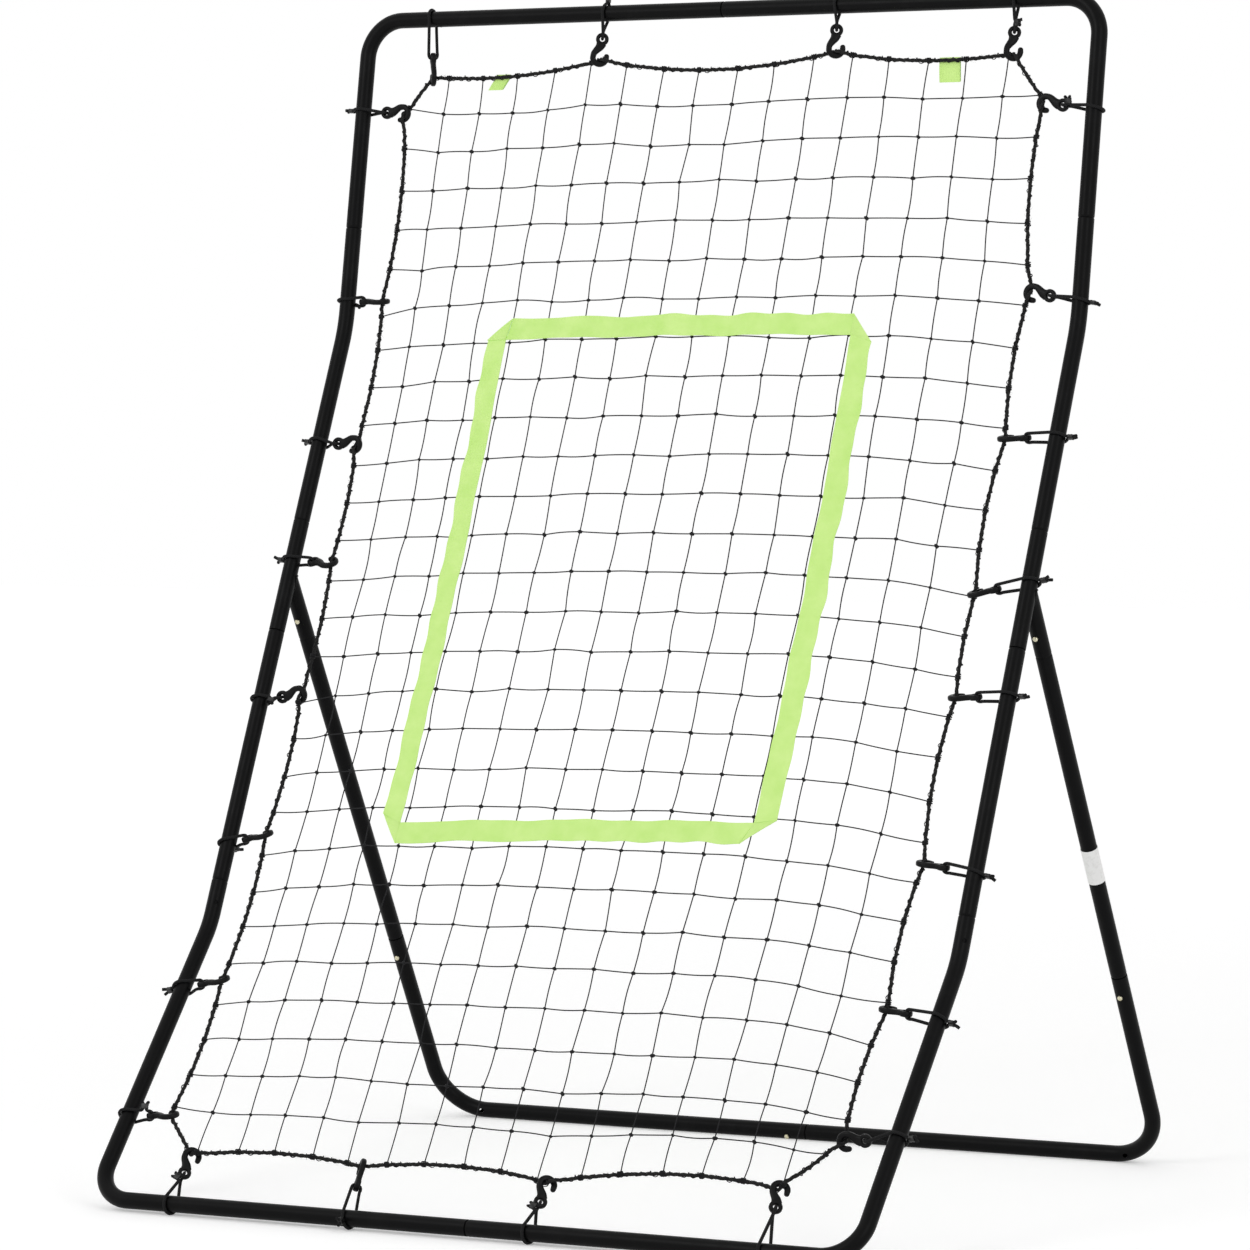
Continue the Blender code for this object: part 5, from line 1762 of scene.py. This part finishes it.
@dataclass
class TwineNet:
    """Knotted square mesh: one short strand per mesh side and one knot per crossing."""

    shape: NetShape
    rope: BorderRope
    twine_radius: float = 0.00075
    knot_radius: float = 0.0025
    sides: int = 5
    stations: int = 7
    slack: float = 0.0012
    sag: float = 0.0003
    scatter: float = 0.0009
    lobe: float = 0.25
    seed: int = 12

    def _placed_knots(self) -> Array:
        """Knots with small seeded shifts, and the border ones drawn in to the rope's skin.

        Returns:
            Knot places, rows by columns by 3.
        """
        rng = np.random.default_rng(self.seed)
        knots = self.shape.knots.copy()
        knots[1:-1, 1:-1] += rng.normal(0.0, self.scatter, knots[1:-1, 1:-1].shape)
        path = self.rope.path()
        for edge, inward in ((knots[0], knots[1]), (knots[-1], knots[-2]),
                             (knots[:, 0], knots[:, 1]), (knots[:, -1], knots[:, -2])):
            held = path[nearest(path, edge)]
            edge[:] = held + unit(inward - held) * self.rope.radius * 0.8
        return knots

    def _strands(self, starts: Array, ends: Array, normals: Array) -> Surface:
        """Strands between pairs of knots.

        Each is a shallow arc: the straight line plus a sine of the way along it, times a seeded
        slack, sideways and out of the net's plane.

        Args:
            starts: First ends.
            ends: Last ends.
            normals: Net normals there.

        Returns:
            One surface with every strand.
        """
        count = len(starts)
        rng = np.random.default_rng(self.seed + count)
        along, out = unit(ends - starts)[:, None], normals[:, None]
        sideways = unit(np.cross(along, out))
        t = np.linspace(0.0, 1.0, self.stations)[:, None]
        drift = rng.normal(0.0, 0.45 * self.slack, (count, 1, 1))
        bow = rng.normal(0.0, 0.5 * self.slack, (count, 1, 1)) - Z_AXIS * self.sag
        line = (starts[:, None] * (1 - t) + ends[:, None] * t
                + np.sin(math.pi * t) * (sideways * drift + bow * out))
        turns = np.arange(self.sides) * 2 * math.pi / self.sides
        ring = self.twine_radius * spoke(turns, sideways[:, :, None], out[:, :, None])
        scales = np.stack((np.linalg.norm(ends - starts, axis=1), np.ones(count)), 1)
        return Surface.copies(line[:, :, None] + ring, t[:, 0],
                              shares(self.sides), scales)

    def _knots(self, centres: Array, across: Array, up: Array, out: Array) -> Surface:
        """Knots: small balls pulled into two crossed lobes, each turned a little its own way.

        The radius at latitude a and longitude b is the mean one times 1 plus the lobe's share of
        cos(2b) times the cosine of a.

        Args:
            centres: Middles of the knots.
            across: Unit directions across the net there.
            up: Unit directions up the net.
            out: Normals of the net.

        Returns:
            Every knot.
        """
        rng = np.random.default_rng(self.seed + 5)
        count, rings, sides = len(centres), 6, 7
        a = np.linspace(-0.48 * math.pi, 0.48 * math.pi, rings)[:, None]
        b = np.arange(sides) * 2 * math.pi / sides
        lobes = 1.0 + self.lobe * np.cos(2 * b + 0.8) * np.cos(a)
        ball = np.stack((np.cos(a) * np.cos(b) * lobes, np.cos(a) * np.sin(b) * lobes,
                         0.8 * np.sin(a) * np.ones(sides)), -1)
        size = self.knot_radius * rng.uniform(0.85, 1.2, (count, 1, 1, 1))
        turn = rng.uniform(-0.5, 0.5, (count, 1, 1, 1))
        x = ball[..., :1] * np.cos(turn) - ball[..., 1:2] * np.sin(turn)
        y = ball[..., :1] * np.sin(turn) + ball[..., 1:2] * np.cos(turn)
        points = centres[:, None, None] + size * (
            x * across[:, None, None] + y * up[:, None, None] + ball[..., 2:] * out[:, None, None])
        balls = Surface.copies(points, np.linspace(0.0, 0.01, rings),
                               shares(sides))
        balls.caps = [np.arange(sides) + offset + start
                      for start in np.arange(count) * rings * sides
                      for offset in (0, (rings - 1) * sides)]
        return balls

    def build(self, finishes: Finishes) -> None:
        """Makes the strands and the knots.

        Args:
            finishes: The materials.
        """

        def listed(values: Array) -> Array:
            """Grid of vectors as one list."""
            return values.reshape(-1, 3)

        knots, normals = self._placed_knots(), self.shape.normals()
        level = self._strands(listed(knots[1:-1, :-1]), listed(knots[1:-1, 1:]),
                              listed(normals[1:-1, :-1]))
        upright = self._strands(listed(knots[:-1, 1:-1]), listed(knots[1:, 1:-1]),
                                listed(normals[:-1, 1:-1]))
        add_piece("knotted_net", Surface.join([level, upright]).to_mesh("net"), finishes.twine,
                  replaces=("net_lower_panel", "net_middle_panel", "net_upper_panel"),
                  sharp=180.0)
        across = listed(unit(np.gradient(knots, axis=1))[1:-1, 1:-1])
        out = listed(normals[1:-1, 1:-1])
        balls = self._knots(listed(knots[1:-1, 1:-1]), across, unit(np.cross(out, across)), out)
        add_piece("net_knots", balls.to_mesh("knots"), finishes.twine, sharp=180.0)


@dataclass(frozen=True)
class Wave:
    """Slow sine along a ribbon: size, length, and how many times it takes the side's phase."""

    size: float
    length: float
    phases: float = 1.0

    def at(self, way: Array, phase: float) -> Array:
        """Its value at each way along."""
        return self.size * np.sin(2 * math.pi * way / self.length + self.phases * phase)


@dataclass
class TargetRibbon:
    """Ribbon square on the front of the net, folded over at its corners."""

    shape: NetShape
    width: float = 0.0262
    thickness: float = 0.0007
    left: float = -0.2285
    right: float = 0.229
    bottom: float = 0.493
    bottom_drop_right: float = -0.012
    top: float = 1.107
    lift: float = 0.0040
    spacing: float = 0.004
    edge_waves: tuple[Wave, ...] = (Wave(0.0010, 0.137), Wave(0.0004, 0.0523, 3.0))
    width_waves: tuple[Wave, ...] = (Wave(0.030, 0.109, 2.0), Wave(0.016, 0.0471))
    lift_wave: Wave = Wave(0.0010, 0.0494)
    curl: float = 0.0004
    fold_bulge: float = 0.0009
    fold_layer: float = 0.0005
    trims: tuple[Pair, ...] = ((0.011, 0.0), (0.012, 0.005), (0.008, 0.0), (0.005, 0.0))

    def _sheet(self, flat: Array, lift: Array, thickness: float, way: Array,
               across: Array) -> Surface:
        """Closed sheet in front of the net.

        Args:
            flat: Places on the flat net, rows by columns by 2.
            lift: Height of its front off the net.
            thickness: Distance from its front to its back.
            way: Length up to each row.
            across: Width up to each column.

        Returns:
            Front, back and edges.
        """
        front, back = (self.shape.on_net(flat[..., 0], flat[..., 1], height)
                       for height in (lift, lift - thickness))
        ring = np.concatenate((front, back[:, ::-1]), axis=1)
        around = np.concatenate((across, across[::-1], (0.0,)))
        return Surface.grid(ring, way, around, False, True, True)

    def _strip(self, first: Pair, last: Pair,
               outward: Pair, trims: Pair, layer: float,
               phase: float) -> Surface:
        """One side of the square as a closed strip.

        Across it runs from the inner edge to the outer one. Both edges wander by slow sines of
        the way along, and its height off the net by another.

        Args:
            first: Inner corner where it starts, on the flat net.
            last: Inner corner where it ends.
            outward: Direction from inner to outer edge.
            trims: How much shorter the outer edge is at its start and end.
            layer: Extra height off the net.
            phase: Shift of the sines.

        Returns:
            The strip, front, back and edges.
        """
        start, end, out = np.array(first), np.array(last), np.array(outward)
        length = float(np.linalg.norm(end - start))
        t = np.linspace(0.0, 1.0, int(length / self.spacing) + 1)[:, None]
        across = np.linspace(0.0, 1.0, 7)[None, :]
        way = t * length
        wander = sum(wave.at(way, phase) for wave in self.edge_waves) * np.sin(math.pi * t) ** 0.5
        width = self.width * (1.0 + sum(wave.at(way, phase) for wave in self.width_waves))
        off = wander + across * width
        walk = trims[0] * across + t * (length - (trims[0] + trims[1]) * across)
        flat = start + (end - start) / length * walk[..., None] + out * off[..., None]
        wave = self.lift_wave.at(way, phase) * (0.35 + 0.65 * across)
        lift = self.lift + layer + wave + self.curl * np.sin(3 * across + phase)
        return self._sheet(flat, lift, self.thickness, way[:, 0], across[0] * self.width)

    def _fold(self, corner: Pair, outline: Array, layer: float) -> Surface:
        """Folded corner: a fan from the inner corner to the folded edge across the outer one.

        Args:
            corner: Inner corner on the flat net.
            outline: The folded edge, from the outer edge of one side to that of the next, as seen
                from the corner.
            layer: Extra height off the net.

        Returns:
            A closed thin wedge.
        """
        share = shares(12)
        reach = np.linspace(0.02, 1.0, 6)
        edge = at_lengths(outline, lengths_along(outline)[-1] * share)[:, None, :]
        flat = np.array(corner) + edge * reach[:, None] * 1.01
        bulge = self.fold_bulge * np.sin(math.pi * share)[:, None] * reach
        lift = self.lift + layer + bulge
        return self._sheet(flat, lift, 1.5 * self.thickness, share * self.width * 1.4,
                           reach * self.width)

    def build(self, finishes: Finishes) -> None:
        """Makes the four sides and the four folds as one ribbon.

        Args:
            finishes: The materials.
        """
        low_right = self.bottom - self.bottom_drop_right
        corners = ((self.left, self.bottom), (self.right, low_right), (self.right, self.top),
                   (self.left, self.top))
        outward = ((0.0, -1.0), (1.0, 0.0), (0.0, 1.0), (-1.0, 0.0))
        ways = np.array(((1.0, 0.0), (0.0, 1.0), (-1.0, 0.0), (0.0, -1.0)))
        parts = []
        for index in range(4):
            (before, after), onward = self.trims[index], (index + 1) % 4
            trims = (after, self.trims[onward][0])
            parts.append(self._strip(corners[index], corners[onward], outward[index], trims,
                                     0.0002 * (index % 2), 1.7 * index))
            ends = np.array((outward[index - 1], outward[index])) * self.width
            outline = np.array((ends[0] - ways[index - 1] * before, ends[1] + ways[index] * after))
            parts.append(self._fold(corners[index], outline, self.fold_layer))
        add_piece("folded_target_ribbon", Surface.join(parts).to_mesh("ribbon"), finishes.ribbon,
                  replaces=("target_strap",), sharp=50.0)


@dataclass(frozen=True)
class Tab:
    """One tab: its side, its place along the rope, width, depth below the rope, and slant."""

    side: str
    x: float
    width: float
    drop: float
    slant: float


@dataclass
class RopeTabs:
    """Two short tabs of doubled ribbon, sewn to the back of the top rope."""

    rope: BorderRope
    thickness: float = 0.0008
    fold: float = 0.0007
    above: float = 0.0028
    curl: float = 0.0007
    near_top: float = 0.06
    tabs: tuple[Tab, ...] = (Tab("left", -0.297, 0.0195, 0.0150, 0.65),
                             Tab("right", 0.3015, 0.0268, 0.0255, -0.08))

    def build(self, finishes: Finishes) -> None:
        """Makes each tab: up, round a narrow fold and down again, behind the rope.

        Seen from the side its line is a half circle with a straight layer at each end. Below the
        rope the tab is sheared sideways by its slant times the depth.

        Args:
            finishes: The materials.
        """
        path, rail = self.rope.path(), self.rope.shape.rail
        up = rail.direction(rail.length)
        front = np.array((0.0, -up[2], up[1]))
        high = path[path[:, 2] > path[:, 2].max() - self.near_top]
        behind = self.rope.radius + self.thickness / 2 + self.fold
        arc = self.fold * spoke(np.linspace(math.pi, 0.0, 13), front, up) + up * self.above
        for tab in self.tabs:
            near = high[np.abs(high[:, 0] - tab.x).argmin()]
            centre = np.array((tab.x, near[1], near[2])) - front * behind
            depth = np.linspace(0.05, 1.0, 12)[:, None] * (tab.drop + self.above)
            curl = self.curl * np.sin(math.pi * depth / depth[-1])
            back_layer = (arc[0] - up * depth * 0.96)[::-1]
            front_layer = arc[-1] - up * depth + front * curl
            line = centre + np.concatenate((back_layer, arc, front_layer))
            section = soft_box_section(tab.width / 2, self.thickness / 2, 16, 0.35)
            sheet = Surface.sweep(line, section, hint=X_AXIS)
            fall = np.minimum((sheet.points - centre) @ up, 0.0)
            sheet.points = sheet.points + X_AXIS * (tab.slant * fall)[:, None]
            sheet.uvs = sheet.uvs * np.array((1.0, 2 * tab.width))
            name = "top_tab_" + tab.side
            add_piece("folded_" + name, sheet.to_mesh(name), finishes.ribbon,
                      replaces=(name,), sharp=50.0)


@dataclass
class ElasticHook:
    """One elastic loop round the tube, its crimp, and the moulded hook that holds the rope.

    Local axes: X from the tube to the net, Y along the tube, Z to the front. The origin lies on
    the tube's axis.
    """

    anchor: Anchor
    hold: Array
    tube_radius: float = 0.0095
    cord: float = 0.0019
    clearance: float = 0.0001
    spread: float = 0.0018
    thickness: float = 0.0064
    bar: float = 0.0069
    jaw_radius: float = 0.0080
    rope_drop: float = 0.0025
    shank: float = 0.0220
    eye_room: float = 0.0228
    eye_radius: float = 0.0077
    eye_hole: float = 0.0030
    tip: float = 0.0050
    look: Triple = (-0.50, 0.86, -0.07)
    run_in: tuple[Pair, ...] = ((0.0110, 0.0017), (0.0055, 0.0021), (0.0016, 0.0009))
    loop_spacing: float = 0.0011
    floor_press: float = 0.050
    floor_turn: float = 3.859
    floor_span: float = 0.6
    eye_crimp: Pair = (0.0100, 0.0055)
    bottom_crimp: float = math.radians(131.1)
    band: tuple[Pair, ...] = (
        (0.0, 0.88), (0.0003, 0.96), (0.0010, 1.0), (0.0030, 0.92), (0.0050, 1.0), (0.0057, 0.96),
        (0.0060, 0.88))
    rise: tuple[Pair, ...] = ((0.43, 0.22), (0.63, 0.60), (0.82, 0.92))
    bar_taper: tuple[Pair, ...] = (
        (0.0, 1.80), (0.08, 1.56), (0.17, 1.28), (0.28, 1.08), (0.38, 1.0), (0.90, 0.98),
        (0.975, 0.85), (1.0, 0.45))
    side_taper: tuple[Pair, ...] = ((0.0, 1.0), (0.90, 0.97), (0.985, 0.85), (1.0, 0.6))
    seed: int = 0

    @property
    def _around(self) -> float:
        """Radius of the cord's line round the tube."""
        return self.tube_radius + self.cord + self.clearance

    @property
    def _crimped_at_eye(self) -> bool:
        """Whether the crimp sits beside the eye."""
        return self.anchor.hook.crimp in (CrimpPlace.EYE_LEFT, CrimpPlace.EYE_RIGHT)

    def _jaw(self, length: float) -> float:
        """Distance from the tube to the middle of the jaw, for a rope at this length."""
        return length - self.anchor.hook.seat - self.rope_drop

    def _eye(self, length: float) -> float:
        """Distance from the tube to the middle of the eye, for a rope at this length."""
        return max(self._jaw(length) - self.shank, self.eye_room)

    @property
    def _turned(self) -> tuple[Array, Array]:
        """Local directions of the hook's shank side and of its eye's hole.

        The shank side starts out against the look, as far as it lies across the hook's length, and
        turns from there by the hook's lie.

        Returns:
            The two directions.
        """
        back = -np.array(self.look) @ self.anchor.axes(self.hold)
        turn = math.atan2(back[1], back[2]) + math.radians(self.anchor.hook.lie.value)
        shank = np.array((0.0, math.sin(turn), math.cos(turn)))
        hole = np.array((0.0, math.cos(turn), -math.sin(turn)))
        return shank, hole if hole[1] + hole[2] > 0 else -hole

    def _loop(self, length: float) -> Array:
        """Closed line of the cord: round the tube, back to the eye, through it and to the front.

        On the tube it follows a circle; it leaves where the line to the eye is tangent, at the
        angle whose cosine is the circle's radius over the eye's distance. Under the front bar the
        circle is pressed in by a bell curve of the angle, where the cord stands on the floor.

        Args:
            length: Distance from the tube to the rope.

        Returns:
            Evenly spaced points.
        """
        eye, around, hole = self._eye(length), self._around, self._turned[1]
        leave = math.acos(min(around / (eye - 0.002), 0.95))
        angles = np.linspace(leave, 2 * math.pi - leave, 13)
        press = self.floor_press if self.anchor.group == "bottom" else 0.0
        radius = around * (1.0 - press * np.exp(
            -((angles - self.floor_turn) / self.floor_span) ** 2))
        spread = -self.spread if self.anchor.group == "top" and hole[2] > 0.5 else self.spread
        shift = spread * np.cos(angles / 2) / math.cos(leave / 2)
        arc = np.stack((radius * np.cos(angles), shift, radius * np.sin(angles)), 1)
        short, beside = (part[:, None] for part in np.array(self.run_in).T)
        reach, beside = (eye - short) * X_AXIS, (self.thickness / 2 + beside) * hole
        corners = np.concatenate((arc, reach - beside, (eye - 0.0002) * X_AXIS[None],
                                  (reach + beside)[::-1]))
        padded = np.concatenate((corners[-2:], corners, corners[:2]))
        return even_ring(smooth_curve(padded, 6)[12:-18], self.loop_spacing)[0]

    def _crimp_seat(self, loop: Array, length: float) -> tuple[int, Array]:
        """Where on the loop the crimp sits, and the direction in which it points.

        Args:
            loop: Points of the loop.
            length: Distance from the tube to the rope.

        Returns:
            Index of the loop point, and the direction.
        """
        place = self.anchor.hook.crimp
        if self._crimped_at_eye:
            sign = 1.0 if place is CrimpPlace.EYE_LEFT else -1.0
            short, front = self.eye_crimp
            wanted = np.array((self._eye(length) - short, 0.0, front))
            return int(nearest(loop, wanted)), unit(np.array((0.35, sign, 0.35)))
        turn = math.pi if place is CrimpPlace.OUTSIDE else 1.5 * math.pi
        if self.anchor.group == "bottom":
            turn = self.bottom_crimp
        out = np.array((math.cos(turn), 0.0, math.sin(turn)))
        return int(nearest(loop, out * self._around)), out

    def pieces(self, length: float) -> tuple[Surface, Surface]:
        """The cord, cut where it is crimped, and the crimp.

        The loop is opened at the crimp and its two ends turn out side by side through the pressed
        band, then spread as short tails.

        Args:
            length: Distance from the tube to the rope.

        Returns:
            Cord and crimp.
        """
        rng = np.random.default_rng(self.seed)
        loop = self._loop(length)
        index, out = self._crimp_seat(loop, length)
        rolled = np.roll(loop, -index, axis=0)
        seat, along = rolled[0], unit(rolled[2] - rolled[-2])
        out = unit(out - along * (out @ along))
        side = np.cross(out, along)
        start, beside = self.cord * 0.9, self.cord + 0.0001
        spreads, tails = (((0.0024, 0.0034), (0.0010, 0.0026)) if self._crimped_at_eye
                          else ((0.0026, 0.0062), (0.0028, 0.0056)))
        ends = []
        for sign in (1.0, -1.0):
            bend, spread, tail = rng.uniform(-0.6, 0.6), rng.uniform(*spreads), rng.uniform(*tails)
            steps = np.array(((start + 0.0066 + tail, spread, 0.004 * bend),
                              (start + 0.0070 + 0.4 * tail, 0.0030, 0.002 * bend),
                              (start + 0.0056, beside, 0.0), (start + 0.0012, beside, 0.0),
                              (0.0010, self.cord + 0.0008, 0.0)))
            ends.append(seat + steps @ np.stack((out, sign * along, side)))
        body = rolled[4:-3]
        cord = np.concatenate((smooth_curve(np.concatenate((ends[0], body[:1])), 4)[:-1], body,
                               smooth_curve(np.concatenate((body[-1:], ends[1][::-1])), 4)[1:]))
        way, size = np.array(self.band).T
        line = seat + out * (start + 0.0004 + way)[:, None]
        section = soft_box_section((2 * self.cord + 0.0007) * size, (self.cord + 0.0006) * size,
                                   16, 0.6)
        crimp = Surface.sweep(line, section, hint=along)
        return Surface.sweep(cord, round_section(self.cord, 8)), crimp

    def hook(self, length: float) -> Surface:
        """Moulded hook: an eye that tapers into a shank, a jaw round the rope and a blunt tip.

        Shank, jaw and tip are a rounded bar along one smooth line: from the eye out to the jaw's
        side, half a circle round the jaw's middle, and straight back. In the hook's own plane the
        second coordinate runs towards the shank's side and the third along the eye's hole.

        Args:
            length: Distance from the tube to the rope.

        Returns:
            The hook.
        """
        eye, jaw, middle = self._eye(length), self._jaw(length), self.jaw_radius
        turn = np.radians(np.linspace(80, -90, 15))
        arc = np.stack((jaw + middle * np.cos(turn), middle * np.sin(turn)), 1)
        rise = np.array(self.rise) * (jaw - eye, middle) + (eye, 0.0)
        flat = np.concatenate((((eye + 0.0050, 0.0002),), rise, arc,
                               ((jaw - 0.5 * self.tip, -middle), (jaw - self.tip, -middle))))
        path = smooth_curve(np.pad(flat, ((0, 0), (0, 1))), 3)
        share = lengths_along(path) / lengths_along(path)[-1]
        thick = self.bar / 2 * np.interp(share, *zip(*self.bar_taper))
        wide = self.thickness / 2 * np.interp(share, *zip(*self.side_taper))
        bar = Surface.sweep(path, soft_box_section(wide, thick, 12, 0.7), hint=Z_AXIS)
        count = 32
        spin = np.arange(count) * 2 * math.pi / count
        mean, wall = (self.eye_radius + self.eye_hole) / 2, (self.eye_radius - self.eye_hole) / 2
        ring = eye * X_AXIS + mean * spoke(spin, X_AXIS, Y_AXIS)
        section = soft_box_section(np.full(count, self.thickness / 2), np.full(count, wall),
                                   12, 0.7)
        loose = Surface.join([bar, Surface.sweep(ring, section, closed=True, hint=Z_AXIS)])
        loose.points = loose.points @ np.stack((X_AXIS, *self._turned))
        return loose

    def build(self, finishes: Finishes) -> None:
        """Makes the hook, the elastic and the crimp in place.

        Args:
            finishes: The materials.
        """
        name, place = self.anchor.name, self.anchor.tube
        length, turn = float(np.linalg.norm(self.hold - place)), self.anchor.axes(self.hold)
        node = "elastic_hook_" + name
        cord, crimp = self.pieces(length)
        add_piece("elastic_loop_" + name, cord.moved(place, turn).to_mesh(node), finishes.elastic,
                  replaces=(node,), sharp=90.0)
        add_piece("moulded_hook_" + name, self.hook(length).moved(place, turn).to_mesh(node),
                  finishes.hook, sharp=60.0)
        add_piece("crimp_" + name, crimp.moved(place, turn).to_mesh(node), finishes.crimp,
                  sharp=50.0)


@dataclass
class HookSet:
    """Every elastic hook round the net."""

    shape: NetShape

    def build(self, finishes: Finishes) -> None:
        """Makes each hook where the rope runs past its anchor.

        Args:
            finishes: The materials.
        """
        path = self.shape.rope_path()
        for number, anchor in enumerate(self.shape.anchors):
            hold = path[nearest(path, anchor.hold)]
            ElasticHook(anchor, hold, seed=100 + number).build(finishes)


# Studio

@dataclass(frozen=True)
class StudioFloor:
    """White floor that keeps the object's soft shadow."""

    colour: Triple = (0.90, 0.90, 0.90)
    near_glow: float = 0.23
    far_glow: float = 0.36
    near: float = 1.2
    far: float = 5.5

    def build(self) -> Material:
        """Makes the material: matt white, with a faint light that camera, gloss and glass see.

        Returns:
            The material.
        """
        board = NodeBoard("studio_floor")
        grain = board.noise(board.place(), 3.0, 2.0)
        colour = board.mixed(grain, self.colour, tuple(0.995 * value for value in self.colour))
        material = board.finish(colour, board.ranged(grain, 0.88, 0.92), grain, 0.0001, 0.05)
        away = board.node("VectorMath", {0: board.place()}, operation="LENGTH").outputs["Value"]
        glow = board.sum("MULTIPLY", seen_rays(board.tree),
                         board.ranged(away, self.near_glow, self.far_glow, self.near, self.far))
        board.tree.links.new(glow, board.shader.inputs["Emission Strength"])
        board.shader.inputs["Emission Color"].default_value = (1.0, 1.0, 1.0, 1.0)
        return material


@dataclass
class Studio:
    """Floor, soft light and the camera that took the photograph's view."""

    camera_place: Triple = (3.5015, -5.6614, 1.1557)
    yaw: float = 30.0805
    pitch: float = 4.1541
    roll: float = -1.0755
    focal_pixels: float = 6117.6
    image_pixels: int = 1250
    sensor: float = 36.0
    world_light: float = 0.72
    lamp_aim: Triple = (0.0, 0.35, 0.6)
    half_floor: float = 9.0

    def _world(self) -> None:
        """Even white surroundings, pure white to the camera, gloss and glass."""
        world = bpy.data.worlds.new("studio")
        bpy.context.scene.world = world
        world.use_nodes = True
        tree = world.node_tree
        tree.nodes.clear()
        lit, seen = (add_node(tree, "Background",
                              {"Color": (1.0, 1.0, 1.0, 1.0), "Strength": strength})
                     for strength in (self.world_light, 1.0))
        mix = add_node(tree, "MixShader",
                       {0: seen_rays(tree), 1: lit.outputs[0], 2: seen.outputs[0]})
        add_node(tree, "OutputWorld", {0: mix.outputs[0]})

    def _lamp(self, name: str, place: Triple, size: Pair,
              power: float) -> None:
        """Oblong soft lamp that points at the net.

        Args:
            name: Name of the lamp.
            place: Where it hangs.
            size: Its two sides.
            power: In watts.
        """
        light = bpy.data.lights.new(name, "AREA")
        light.shape = "RECTANGLE"
        light.size, light.size_y = size
        light.energy = power
        lamp = placed(name, light)
        lamp.location = place
        aim = Vector(self.lamp_aim) - Vector(place)
        lamp.rotation_euler = aim.to_track_quat("-Z", "Y").to_euler()

    def _camera(self) -> None:
        """Camera turned by yaw about the vertical, then pitch, then roll about its own axis."""
        yaw, pitch, roll = (math.radians(angle) for angle in (self.yaw, self.pitch, self.roll))
        forward = np.array((-math.sin(yaw) * math.cos(pitch), math.cos(yaw) * math.cos(pitch),
                            -math.sin(pitch)))
        level = np.array((math.cos(yaw), math.sin(yaw), 0.0))
        above = np.cross(level, forward)
        right = math.cos(roll) * level + math.sin(roll) * above
        up = -math.sin(roll) * level + math.cos(roll) * above
        data = bpy.data.cameras.new("photo_view")
        data.sensor_width = self.sensor
        data.lens = self.focal_pixels / self.image_pixels * self.sensor
        data.clip_end = 60.0
        camera = placed("photo_view", data)
        turn = np.eye(4)
        turn[:3, :3] = np.stack((right, up, -forward), axis=1)
        turn[:3, 3] = self.camera_place
        camera.matrix_world = Matrix(turn.tolist())
        bpy.context.scene.camera = camera

    def build(self) -> None:
        """Makes the floor, the light and the camera."""
        edges = np.array((-self.half_floor, self.half_floor))
        grid = np.stack(np.meshgrid(edges, edges, (0.0,), indexing="ij"), axis=-1).reshape(2, 2, 3)
        floor_mesh = Surface.grid(grid, edges + edges[1], edges + edges[1]).to_mesh("floor")
        floor_mesh.materials.append(StudioFloor().build())
        if floor_mesh.polygons[0].normal.z < 0:
            floor_mesh.flip_normals()
        floor = placed("studio_floor", floor_mesh)
        self._world()
        self._lamp("key_lamp", (-1.6, -3.2, 3.2), (1.8, 2.4), 46.0)
        self._lamp("fill_lamp", (3.4, -1.6, 2.4), (1.6, 1.8), 22.0)
        self._camera()
        bpy.context.scene.view_settings.view_transform = "Standard"


def main() -> None:
    """Builds the dressed net on its CAD frame, then the studio."""
    logging.basicConfig(level=logging.INFO, format="%(name)s: %(message)s")
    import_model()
    finishes = Finishes.build()
    rail = RailShape()
    frame = TubeFrame(rail)
    frame.build(finishes)
    SnapClips(frame).build(finishes)
    BlankLabel(rail).build(finishes)
    shape = NetShape(rail)
    rope = BorderRope(shape)
    rope.build(finishes)
    TwineNet(shape, rope).build(finishes)
    TargetRibbon(shape).build(finishes)
    RopeTabs(rope).build(finishes)
    HookSet(shape).build(finishes)
    Studio().build()


if __name__ == "__main__":
    main()
